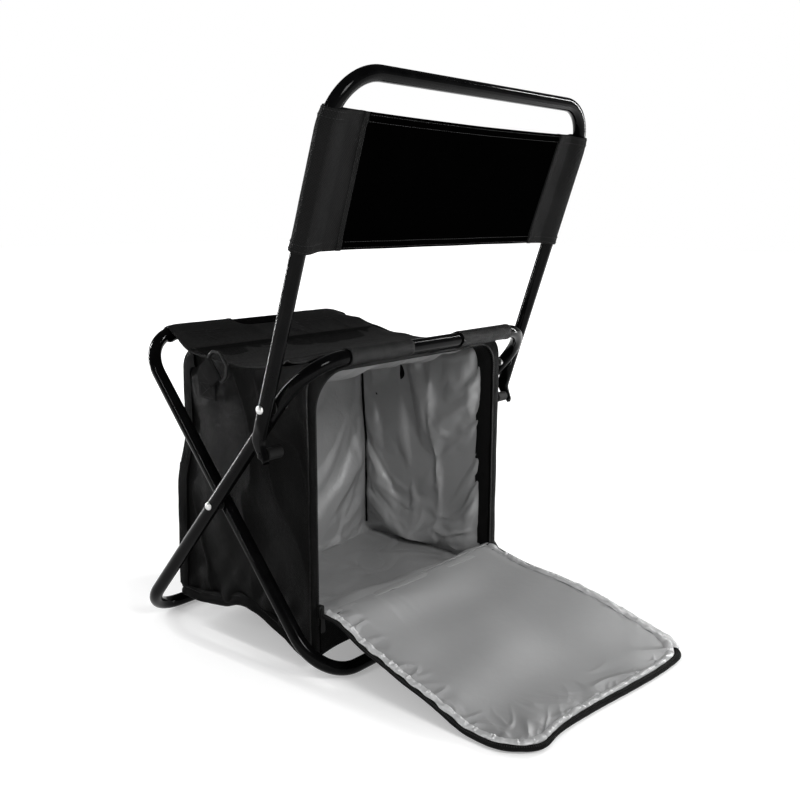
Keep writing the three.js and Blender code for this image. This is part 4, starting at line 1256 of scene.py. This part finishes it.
def door_stretch(x, length):
    """The open flap hangs askew: its far side reaches furthest, and its tip dips between its corners."""
    share = np.clip(length / DOOR_LENGTH, 0, 1.1)
    return length + share ** 1.5 * (20.0 * smooth(x, 90, -115) + 5.0 * bump(x, 134, 26))


FLOOR_GAP = 6.3  # lowest height of the door's own plane above the floor


def door_point(x, length, up):
    """A place on the open door: across, away from the hinge, and up from its plane."""
    x, length, up = np.broadcast_arrays(*(np.asarray(v, float) for v in (x, length, up)))
    wide, reach = square_corners(x, length)
    far = smooth(x, -40, -DOOR_HALF)
    wide = wide + near_side(x) * (1 - 0.7 * smooth(length, 120, 240)) - 6.0 * far * smooth(length, 20, 120)
    reach = door_stretch(wide, reach)
    base = HINGE + wide[..., None] * ACROSS + reach[..., None] * DOOR_OUT
    base = base + (door_sag(x, length) + 3.5 * far * smooth(length, 30, 110))[..., None] * DOOR_UP
    low = FLOOR_GAP - base[..., 2]
    base[..., 2] += np.where(low > -3, (low + 3) ** 2 / 12 * (low < 3) + low * (low >= 3), 0)
    return base + up[..., None] * DOOR_UP


def drawn_in(obj):
    """The flap lies stretched out on the floor. This gives a piece of it a mesh of its own."""
    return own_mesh(obj)


def door_half(length, corner=DOOR_CORNER):
    """Half the door's width at a length, narrower over its rounded corners."""
    beyond = np.maximum(length - (DOOR_LENGTH - DOOR_CORNER), 0)
    return DOOR_HALF - DOOR_CORNER + np.sqrt(np.maximum(corner ** 2 - beyond ** 2, 0))


def door_edge(x, length):
    """How far a place on the door lies from its edge."""
    return np.minimum(door_half(length) - np.abs(x), DOOR_LENGTH - length)


def door_relief(x, length):
    """Folds of the door's film, strongest along its near side and at its tip."""
    flat = paired(x, length)
    edge = door_edge(x, length)
    puff = 2.4 * smooth(edge, 0, 30) - 1.0
    near = smooth(x, 20, 140)
    tip = smooth(length, 190, 262)
    short = 2.8 * near * bump(edge, 15, 13) * folds(paired(x * 0.4, length), 24, 307, 0.25)
    corner = paired(np.arctan2(x - 80, length - 190) * 42, np.hypot(x - 80, length - 190) * 0.25)
    rays = 3.4 * tip * smooth(x, 0, 90) * smooth(edge, 3, 22) * smooth(edge, 75, 30)
    rays = rays * folds(corner, 15, 311)
    cross = 2.2 * tip * smooth(x, 70, -20) * smooth(edge, 60, 25) * smooth(edge, 2, 14)
    cross = cross * folds(flat * [0.5, 1], 40, 317)
    rim = 1.5 * bump(edge, 9, 9) * folds(flat, 18, 313)
    hinge = 2.4 * near * bump(length, 26, 26) * folds(paired(x, length * 0.4), 34, 319, 0.25)
    broad = 1.3 * ripple(flat, 130, 305)
    return puff + short + rays + cross + rim + hinge + broad * smooth(edge, 0, 30)


def door_grid(inset, rows=150, columns=150):
    """Places over the door up to an inset from its edge, closer together towards it."""
    t = np.linspace(0, 1, rows)
    length = 5.0 + (DOOR_LENGTH - inset - 5.0) * (1 - (1 - t) ** 1.5)
    s = np.linspace(-1, 1, columns)
    s = np.sign(s) * (1 - (1 - np.abs(s)) ** 1.3)
    x = s[:, None] * door_half(length, DOOR_CORNER - inset)[None]
    return x, np.broadcast_to(length, x.shape)


def door():
    x, length = door_grid(6.5)
    film = door_point(x, length, 1.2 + door_relief(x, length))
    obj = Shape().slab(film[::-1, ::-1], PLAIN_FILM, cloth=paired(x, length)[::-1, ::-1]).piece(
        "door_film_sheet", DOOR_FILM_SHADED, "lining_film", "door", ["door_lining"])
    sheet(obj)
    drawn_in(obj)
    x, length = door_grid(3.0, 110, 110)
    edge = door_edge(x, length)
    swell = 0.5 * (1 + ripple(paired(x, length), 90, 321))
    under = -1.6 - 1.6 * smooth(edge, 0, 12) - swell * smooth(edge, 0, 25)
    body = door_point(x, length, under)
    obj = Shape().slab(body, np.minimum(2.4, -under * 0.75)).piece("door_cloth", BAG_CLOTH, "shell_fabric",
                                                                  "door", ["door_panel"])
    drawn_in(obj)
    line = arch(DOOR_HALF, 4, DOOR_LENGTH, DOOR_CORNER, 110, 60, 80)
    out = outward_of(line)
    run = run_of(line)
    heavy = 0.7 * smooth(line[:, 1], 235, 272) * smooth(line[:, 0], 120, 40)
    heavy = 1 + (heavy - 0.45 * smooth(line[:, 1], 235, 150))

    def strip(profile, noise, seed, thick=np.ones(len(line))):
        """A strip along the door's edge; thick widens what hangs out or down."""
        rows = []
        for width, up in profile:
            spot = line + out * (width * np.where(width > 0, thick, 1))[:, None]
            up = up * (thick if up < 0 else 1)
            wobble = noise * ripple(paired(run, np.full_like(run, width * 4)), 16, seed)
            rows.append(door_point(spot[:, 0], spot[:, 1], up + wobble))
        return np.array(rows)

    tape = strip(((-6.5, 0.4), (-3.0, 0.7), (-0.6, 0.5), (0.8, -0.4), (1.6, -1.6), (1.2, -2.8),
                  (-2.0, -3.2), (-6.0, -2.6)), 0.25, 331, heavy)
    drawn_in(Shape().slab(tape[::-1], EDGE_CLOTH).piece("door_zip_cloth", ZIP_TAPE, "zip_black", "door",
                                                        ["door_zip_tape"]))
    roll = strip(((-10.5, 0.8), (-9.8, 2.3), (-8.4, 3.4), (-6.6, 3.6), (-4.6, 2.9), (-3.4, 1.6),
                  (-3.2, 0.7)), 0.3, 337)
    pucker = 2.2 * folds(paired(run, run * 0), 9, 339) + 0.9 * ripple(run[:, None], 31, 343)
    roll += (np.sin(np.linspace(0, np.pi, 7))[:, None] * pucker[None])[..., None] * DOOR_UP
    slip = 1.6 * ripple(run[:, None], 26, 345)
    roll += (np.linspace(0.2, 1, 7)[:, None] * slip[None])[..., None] * ACROSS * np.sign(line[None, :, :1])
    drawn_in(Shape().slab(roll[::-1], EDGE_CLOTH).piece("door_film_binding", EDGE_FILM, "lining_film",
                                                        "door"))

    # The film's edge, folded over on the far side
    far = np.array([k for k in range(len(line)) if line[k, 0] < -100 and 128 < line[k, 1] < 264])
    share = np.linspace(0, 1, len(far))
    swell = smooth(share, 0, 0.08) * smooth(share, 1, 0.93)
    rows = []
    for width, up in ((-8.0, 1.8), (-4.0, 2.4), (0.0, 2.0), (3.0, 0.6), (4.2, -1.2), (3.4, -2.6)):
        reach = width * (0.55 + 0.45 * swell) + 1.1 * ripple(run[far, None], 21, 353)
        spot = line[far] + out[far] * reach[:, None]
        lift = up + 1.2 * swell * folds(paired(run[far], run[far] * 0 + width), 13, 349, 0.4)
        rows.append(door_point(spot[:, 0], spot[:, 1], lift))
    drawn_in(Shape().slab(np.array(rows)[::-1], 0.5).piece("door_folded_film", EDGE_FILM, "lining_film",
                                                           "door"))
    shape = Shape()
    spot = line + out * -0.5
    place = door_point(spot[:, 0], spot[:, 1], 0.5)
    outward_3d = out[:, :1] * ACROSS + out[:, 1:] * DOOR_OUT
    teeth(shape, line, place, outward_3d, np.tile(DOOR_UP, (len(line), 1)))
    drawn_in(shape.piece("door_zip_teeth", ZIP, "zip_black", "door"))


def hinge_strip():
    """Film above and cloth below, bent over the hinge from the sill to the door."""
    x = np.linspace(-153, 153, 90)
    above = [(274, 64.6), (278, 67.2), (281, 68.9), (284, 70.4), (287, 71.2), (290, 71.4), (294, 70.8),
             (298, 69.8)]
    points = np.empty((len(x), len(above), 3))
    points[..., 0] = x[:, None]
    points[..., 1:] = np.array(above)[None]
    points[..., 2] += 0.5 * ripple(points, 50, 351)
    beyond = points[..., 1] - HINGE[1]
    points[..., 2] += smooth(beyond, -3, 6) * (door_sag(points[..., 0], beyond) - 1.6)
    points[..., 0] += near_side(points[..., 0])
    obj = Shape().slab(points, PLAIN_FILM).piece("hinge_film", FILM, "lining_film", None,
                                                 ["door_hinge_bead"])
    sheet(obj)
    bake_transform(obj)
    under = Shape().slab(points - [0, 0, 1.1], DOUBLE_CLOTH).piece("hinge_cloth", BAG_CLOTH,
                                                                   "shell_fabric", None)
    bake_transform(under)


def slider():
    low, high = (v * 1000 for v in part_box("zip_slider"))
    middle = (low + high) / 2
    shape = Shape()
    outline = []
    for t in circle(36):
        wide = 3.3 + 1.1 * math.sin(t)
        outline.append((middle.x + wide * math.copysign(abs(math.cos(t)) ** 0.6, math.cos(t)),
                        middle.z + 8.2 * math.copysign(abs(math.sin(t)) ** 0.6, math.sin(t))))
    for y, thick in ((low.y + 0.7, 0.9), (high.y - 0.9, 1.1)):
        rows = []
        for grow, dy in ((0.0, -thick), (1.0, -thick), (1.0, thick), (0.0, thick)):
            share = max(grow, AXIS)
            rows.append([(middle.x + (px - middle.x) * share, y + dy * (0.9 if grow else 1),
                          middle.z + (pz - middle.z) * share) for px, pz in outline])
        shape.grid(np.array(rows), wrap_v=True)
    shape.box(np.array([middle.x, middle.y, high.z - 3]), *np.diag([1.1, 2.2, 2.2]))
    foot, top = high.y - 0.8, high.y + 1.6
    bridge = rounded([(middle.x, foot, low.z + 5), (middle.x, top, low.z + 6),
                      (middle.x, top, high.z - 4.5), (middle.x, foot, high.z - 3.5)], 1.2, 6)
    shape.tube(bridge, 0.8, 10)
    shape.piece("zip_slider_body", PLASTIC, "zip_black", "slider", ["zip_slider"])


def pull_tag():
    low, high = (v * 1000 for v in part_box("zip_pull"))
    middle = (low + high) / 2
    s, t = lattice(np.linspace(-1, 1, 13), np.linspace(0, 1, 34))
    wide = 2.4 + 1.1 * smooth(t, 0.75, 0.05) - 0.9 * smooth(t, 0.1, 0.0)
    x = middle.x + s * wide
    z = low.z + (high.z - low.z) * t
    y = high.y - 0.25 * s ** 4 - 0.2
    mask = np.ones((12, 33), bool)
    mask[4:8, 27:31] = False  # the eye that the slider's bridge runs through
    Shape().slab(np.stack([x, y, z], -1)[::-1], 1.1, mask=mask).piece(
        "zip_pull_tag", PLASTIC, "zip_black", "pull", ["zip_pull"])


back_face()
bag_zip()
door()
hinge_strip()
slider()
pull_tag()


# Lining

LINING_SIDE, LINING_FRONT, LINING_LOW, LINING_REAR = 162.0, 52.0, 38.0, 267.0


def floor_height(x, y):
    """The film on the floor rises to the sill: gently on the near side, steeply on the far one."""
    near = smooth(x, -130, 150)
    ramp = 33.2 * smooth(y, 236 - 66 * near, 284)
    lifted = (bag_low(y, (np.asarray(x) > 0) * 1.0) - 30.5) * np.abs(np.asarray(x) / BAG_HALF) ** 3
    return LINING_LOW - 1.5 + np.maximum(ramp, lifted + 1.5)


def ceiling_height(y):
    return np.minimum(sling_height(y) - 7.5, 347.5)


def lining_lean(y, z):
    """The lining follows the side walls inwards, but not out at the door."""
    return np.maximum(side_lean(y, z), 0)


SETTLING = 24  # frames


def crumpled(name, points, growth, limits):
    """A sheet held at its border that has grown a little and buckled, as a limp film does."""
    nu, nv = points.shape[:2]
    mesh = bpy.data.meshes.new(name)
    faces = [(i * nv + j, (i + 1) * nv + j, (i + 1) * nv + j + 1, i * nv + j + 1)
             for i in range(nu - 1) for j in range(nv - 1)]
    mesh.from_pydata((points.reshape(-1, 3) * MM).tolist(), [], faces)
    obj = bpy.data.objects.new(name, mesh)
    bpy.context.scene.collection.objects.link(obj)
    held = obj.vertex_groups.new(name="held")
    border = [i * nv + j for i in range(nu) for j in range(nv) if i in (0, nu - 1) or j in (0, nv - 1)]
    held.add(border, 1.0, "REPLACE")
    cloth = obj.modifiers.new("Cloth", "CLOTH")
    rules = cloth.settings
    rules.quality = 6
    rules.mass = 0.05
    rules.tension_stiffness = rules.compression_stiffness = 18
    rules.shear_stiffness = 8
    rules.bending_stiffness = 0.12
    rules.vertex_group_mass = "held"
    rules.shrink_min = -growth
    rules.effector_weights.gravity = 0.15
    cloth.collision_settings.use_collision = False
    scene = bpy.context.scene
    for step in range(1, SETTLING + 1):
        scene.frame_set(step)
    seen = obj.evaluated_get(bpy.context.evaluated_depsgraph_get())
    moved = np.empty(nu * nv * 3)
    seen.data.vertices.foreach_get("co", moved)
    bpy.data.objects.remove(obj)
    bpy.data.meshes.remove(mesh)
    scene.frame_set(1)
    moved = moved.reshape(nu, nv, 3) / MM
    shift = moved - points
    normal = normals_of(points)
    out = (shift * normal).sum(-1, keepdims=True)
    low, high = limits
    a, b = lattice(np.linspace(0, 1, nu), np.linspace(0, 1, nv))
    free = smooth(np.minimum(a, 1 - a), 0, 0.06) * smooth(np.minimum(b, 1 - b), 0, 0.05)
    shift = (shift - out * normal) + np.clip(out, low, high) * normal
    for _ in range(2):
        beside = shift[:-2, 1:-1] + shift[2:, 1:-1] + shift[1:-1, :-2] + shift[1:-1, 2:]
        shift[1:-1, 1:-1] = 0.4 * shift[1:-1, 1:-1] + 0.15 * beside
    return points + free[..., None] * shift


def lining_side(name, sign):
    a, b = lattice(np.linspace(0, 1, 84), np.linspace(0, 1, 104))
    y = LINING_FRONT + (LINING_REAR - LINING_FRONT) * a
    low, high = floor_height(sign * LINING_SIDE, y) - 1.0, ceiling_height(y)
    z = low + (high - low) * b
    flat = paired(y, z)
    edge = smooth(a, 0, 0.08) * smooth(a, 1.0, 0.9) * smooth(b, 0, 0.06) * smooth(b, 1, 0.94)
    slanted = paired(y + z * 0.35, z * 0.42 - y * 0.1)
    depth = 4.0 * creases(slanted, 95, 401 + sign) + 3.0 * ripple(flat, 120, 403 + sign)
    depth += 2.0 * smooth(b, 0.5, 0.05) * creases(flat, 50, 405 + sign)
    slump = 8.0 * bump(z, 62, 26) * smooth(y, LINING_FRONT + 10, 110) * smooth(y, 270, 215)
    x = LINING_SIDE - lining_lean(y, z) - 2.0 - edge * (np.clip(depth + 1.5, 0, 10) + slump)
    points = np.stack([sign * x, y, z], -1)[::-sign]
    points = crumpled(name + "_cloth", points, 0.07, (-3.0, 16.0))
    points[..., 0] = np.clip(points[..., 0], -LINING_SIDE + 1, LINING_SIDE - 1)
    obj = Shape().slab(points, PLAIN_FILM, cloth=flat[::-sign]).piece(name, FILM, "lining_film", "root")
    sheet(obj)
    return obj


def lining_band():
    """Floor, front wall and ceiling of the lining in one sheet."""
    radius = 15.0
    on_floor = 61
    ahead = LINING_FRONT + radius
    rows = [(y, LINING_LOW + 1) for y in np.linspace(LINING_REAR + 15.5, ahead, on_floor)]
    rows += arc((ahead, LINING_LOW + 1 + radius), radius, -math.pi / 2, -math.pi, 12)[1:]
    top = float(ceiling_height(ahead))
    rows += [(LINING_FRONT, z) for z in np.linspace(LINING_LOW + radius + 4, top - radius - 3, 80)]
    rows += arc((ahead, top - radius), radius, math.pi, math.pi / 2, 12)[1:]
    rows += [(y, float(ceiling_height(y))) for y in np.linspace(ahead + 3, LINING_REAR + 2, 60)]
    profile = np.array(rows)
    shares = np.linspace(-1, 1, 120)
    half = LINING_SIDE - 0.4 - lining_lean(profile[:, 0], profile[:, 1])
    inward = outward_of(profile)
    centre = np.array([160.0, 190.0])
    inward *= np.sign(((centre - profile) * inward).sum(1))[:, None]
    run = run_of(profile)
    flat = paired(*lattice(shares * LINING_SIDE, run))
    side = smooth((1 - np.abs(shares)) * LINING_SIDE, 0, 14)[:, None]
    ends = smooth(np.minimum(run, run[-1] - run), 0, 30)[None]
    depth = 3.0 * creases(flat * [0.8, 0.5], 80, 421) + 2.0 * ripple(flat, 130, 423)
    low = smooth(profile[:, 1], 150, 60)[None] * smooth(profile[:, 0], 260, 200)[None]
    depth += 2.0 * low * creases(flat, 48, 425)
    depth = side * ends * np.clip(depth + 1.5, 0, 12)
    points = np.empty((len(shares), len(profile), 3))
    points[..., 0] = shares[:, None] * half[None]
    points[..., 1:] = profile[None] + inward[None] * depth[..., None]
    y = profile[None, :on_floor, 0]
    rise = floor_height(points[:, :on_floor, 0], y) - LINING_LOW - 1
    eased = rise * smooth(y, LINING_FRONT + 8, LINING_FRONT + 40)
    points[:, :on_floor, 2] += np.where(y < ahead + 12, eased, rise)
    points = crumpled("lining_wrap_cloth", points, 0.035, (-12.0, 2.5))
    obj = Shape().slab(points, PLAIN_FILM, cloth=flat).piece("lining_wrap", FILM, "lining_film", "root",
                                                             ["bag_lining"])
    sheet(obj)
    fold_flat(obj)


def dark_corner_strips():
    """Thin dark strips down the two front corners inside."""
    shape = Shape()
    for sign in (1, -1):
        z = np.linspace(LINING_LOW + 14, float(ceiling_height(LINING_FRONT)) - 4, 40)
        y = LINING_FRONT + 2.6 + 0.8 * ripple(z[:, None], 90, 431)
        x = LINING_SIDE - 2.2 - lining_lean(y, z)
        shape.tube(np.stack([sign * x, y, z], 1), 1.8, 8, side=(0, 1, 0))
    fold_flat(shape.piece("lining_dark_corner_strips", BINDING, "binding_tape", "root"))


for name, sign in (("lining_side_left", 1), ("lining_side_right", -1)):
    fold_flat(lining_side(name, sign))
lining_band()
dark_corner_strips()


# Webbing loops and rings

LOOP_ANGLE = math.radians(40)
RING_BAR = 44.0


def strap_course(along):
    """Centre and lean of the strap: it stands upright where it is sewn, and leans over towards its ring."""
    steps = np.linspace(-4, 66, 141)
    lean = np.radians(88 - 56 * smooth(steps, 20, 29) + 8 * smooth(steps, 34, 44))
    run = np.stack([np.cos(lean), np.sin(lean)], 1) * (steps[1] - steps[0])
    place = np.cumsum(run, axis=0)
    place = place - read_at(RING_BAR, steps, place)
    return [np.interp(along, steps, values) for values in (place[:, 0], place[:, 1], lean)]


def loop_point(side, y, z, out, straight=False):
    """A place on a loop: across it, along it from its sewn end, and out from the wall."""
    y, z, out = np.broadcast_arrays(*(np.asarray(v, float) for v in (y, z, out)))
    drop = 59 if side > 0 else 87
    bar = np.array([side * (BAG_HALF + 0.3), FOOT_SPREAD - 66, BAR_HEIGHT - drop])
    bar = bar + RING_BAR * np.array([0, math.cos(LOOP_ANGLE), math.sin(LOOP_ANGLE)])
    if straight:
        lean = np.full(z.shape, LOOP_ANGLE)
        ahead, above = (z - RING_BAR) * np.cos(lean), (z - RING_BAR) * np.sin(lean)
    else:
        ahead, above, lean = strap_course(z)
    spot = np.stack([side * out, ahead + y * np.sin(lean), above - y * np.cos(lean)], -1)
    return bar + spot


def ring_loops():
    for name, side in SIDES:
        path = [(0.5, -2), (0.9, 12), (2.4, 24), (2.6, 34), (1.4, 40)]
        path += arc((4.0, RING_BAR), 2.8, math.pi, 0, 14)
        path += [(7.6, 36), (7.0, 27), (4.0, 21), (2.6, 12), (2.4, -1)]
        path = filled(np.array(path), 2.0)
        across = np.linspace(-15, 15, 17)
        y, n = lattice(across, np.arange(len(path)))
        out, along = path[n, 0], path[n, 1]
        out = out + 1.2 + 0.4 * ripple(paired(along, y), 22, 501)
        points = loop_point(side, y, along, out)
        strap = Shape().slab(points[::-side], 1.2, cloth=paired(n * 2.0, y))
        thread = Shape()
        corners = [(-12, 0), (12, 0), (12, 17), (-12, 17)]
        routes = [corners + corners[:1], [corners[0], corners[2]], [corners[1], corners[3]]]
        for route in routes:
            line = filled(np.array(route, float), 2.0)
            lift = np.interp(line[:, 1], [0, 12, 18], [3.75, 3.9, 4.6])
            thread.stitches(loop_point(side, line[:, 0], line[:, 1], lift), side * ACROSS, 2.6, 2.0, 0.36)
        fold_flat(strap.piece(f"webbing_strap_{name}", WEBBING, "binding_tape", "root",
                              [f"webbing_loop_{name}"]))
        fold_flat(thread.piece(f"webbing_stitching_{name}", THREAD, "binding_tape", "root"))
        corners = [(18, 0), (18, 10.5), (9, 21), (-9, 21), (-18, 10.5), (-18, 0)]
        line = rounded([np.array([y, z, 0.0]) for y, z in corners], 3.0, 8, closed=True)
        place = loop_point(side, line[:, 0], RING_BAR + line[:, 1], 3.9, straight=True)
        fold_flat(Shape().tube(place, 2.1, 16, closed=True, side=ACROSS).piece(
            f"ring_{name}_wire", PLASTIC, "ring_plastic", f"ring_{name}", [f"d_ring_{name}"]))


ring_loops()


# Floor, light and background

def backdrop():
    """White floor and surroundings, plain white to the camera and dimmer to what they light."""
    data = bpy.data.meshes.new("floor")
    size = 12.0  # metres
    corners = [(-size, -size, 0), (size, -size, 0), (size, size, 0), (-size, size, 0)]
    data.from_pydata(corners, [], [(0, 1, 2, 3)])
    floor = bpy.data.objects.new("floor", data)
    bpy.context.scene.collection.objects.link(floor)
    floor.location.z = -0.5 * MM
    paint = Paint("floor_white")
    tree = paint.tree
    speck = paint.noise(4, 3)
    paint.put(Base_Color=paint.ramp(speck, [(0.0, 0.76), (1.0, 0.8)]), Roughness=0.9,
              Specular_IOR_Level=0.1)
    path = tree.nodes.new("ShaderNodeLightPath")
    mirrored = paint.math("MAXIMUM", path.outputs["Is Glossy Ray"], path.outputs["Is Transmission Ray"])
    seen = paint.math("MAXIMUM", path.outputs["Is Camera Ray"], mirrored)
    # Dimmer under the object, so that the floor keeps its shadow
    far = paint.node("VectorMath", 1, settings={"operation": "LENGTH"}, i0=paint.place())
    level = paint.node("MapRange", Value=far, i1=0.65, i2=1.9, i3=0.3, i4=1.0)
    glow = paint.node("Emission", Color=(1, 1, 1, 1), Strength=paint.math("MULTIPLY", seen, level))
    both = paint.node("AddShader", i0=paint.shader.outputs[0], i1=glow)
    tree.links.new(both, tree.nodes["Material Output"].inputs["Surface"])
    data.materials.append(paint.material)

    world = bpy.data.worlds.new("studio")
    bpy.context.scene.world = world
    world.use_nodes = True
    nodes, links = world.node_tree.nodes, world.node_tree.links
    make = lambda kind: nodes.new("ShaderNode" + kind)
    path = make("LightPath")
    coordinates, parts, band = make("TexCoord"), make("SeparateXYZ"), make("MapRange")
    links.new(coordinates.outputs["Generated"], parts.inputs[0])
    links.new(parts.outputs[2], band.inputs["Value"])
    for index, value in ((1, 0.1), (2, 0.45), (3, 0.3), (4, 0.05)):
        band.inputs[index].default_value = value

    def choose(mask, inside, outside):
        mix = make("Mix")
        for index, value in ((0, mask), (2, outside), (3, inside)):
            if isinstance(value, float):
                mix.inputs[index].default_value = value
            else:
                links.new(value, mix.inputs[index])
        return mix.outputs[0]

    clear = make("Math")
    clear.operation = "MAXIMUM"
    links.new(path.outputs["Is Camera Ray"], clear.inputs[0])
    links.new(path.outputs["Is Transmission Ray"], clear.inputs[1])
    mirrored = choose(path.outputs["Is Glossy Ray"], band.outputs[0], 0.5)
    links.new(choose(clear.outputs[0], 1.0, mirrored), nodes["Background"].inputs["Strength"])
    nodes["Background"].inputs["Color"].default_value = (1, 1, 1, 1)


def area_light(name, place, target, size, power):
    """A lamp of a size in metres, in watts."""
    data = bpy.data.lights.new(name, "AREA")
    data.shape = "RECTANGLE"
    data.size, data.size_y = size
    data.energy = power
    lamp = bpy.data.objects.new(name, data)
    bpy.context.scene.collection.objects.link(lamp)
    lamp.location = place
    lamp.visible_camera = False
    lamp.rotation_mode = "QUATERNION"
    lamp.rotation_quaternion = (Vector(target) - Vector(place)).to_track_quat("-Z", "Y")


backdrop()
# The square lamp lights the bag's inside; the strips draw the highlights along the tubes
area_light("key_light", place=(0.45, 1.75, 1.25), target=(0, 0.25, 0.2), size=(0.45, 0.45), power=16)
area_light("front_strip", place=(0.35, -1.5, 0.75), target=(0, 0.15, 0.35), size=(0.05, 1.5), power=22)
area_light("far_strip", place=(-1.45, 0.75, 0.75), target=(0, 0.15, 0.35), size=(0.04, 1.5), power=16)
area_light("near_strip", place=(1.7, -0.1, 0.9), target=(0, 0.2, 0.25), size=(0.04, 1.3), power=8)
bpy.context.scene.view_settings.view_transform = "Standard"
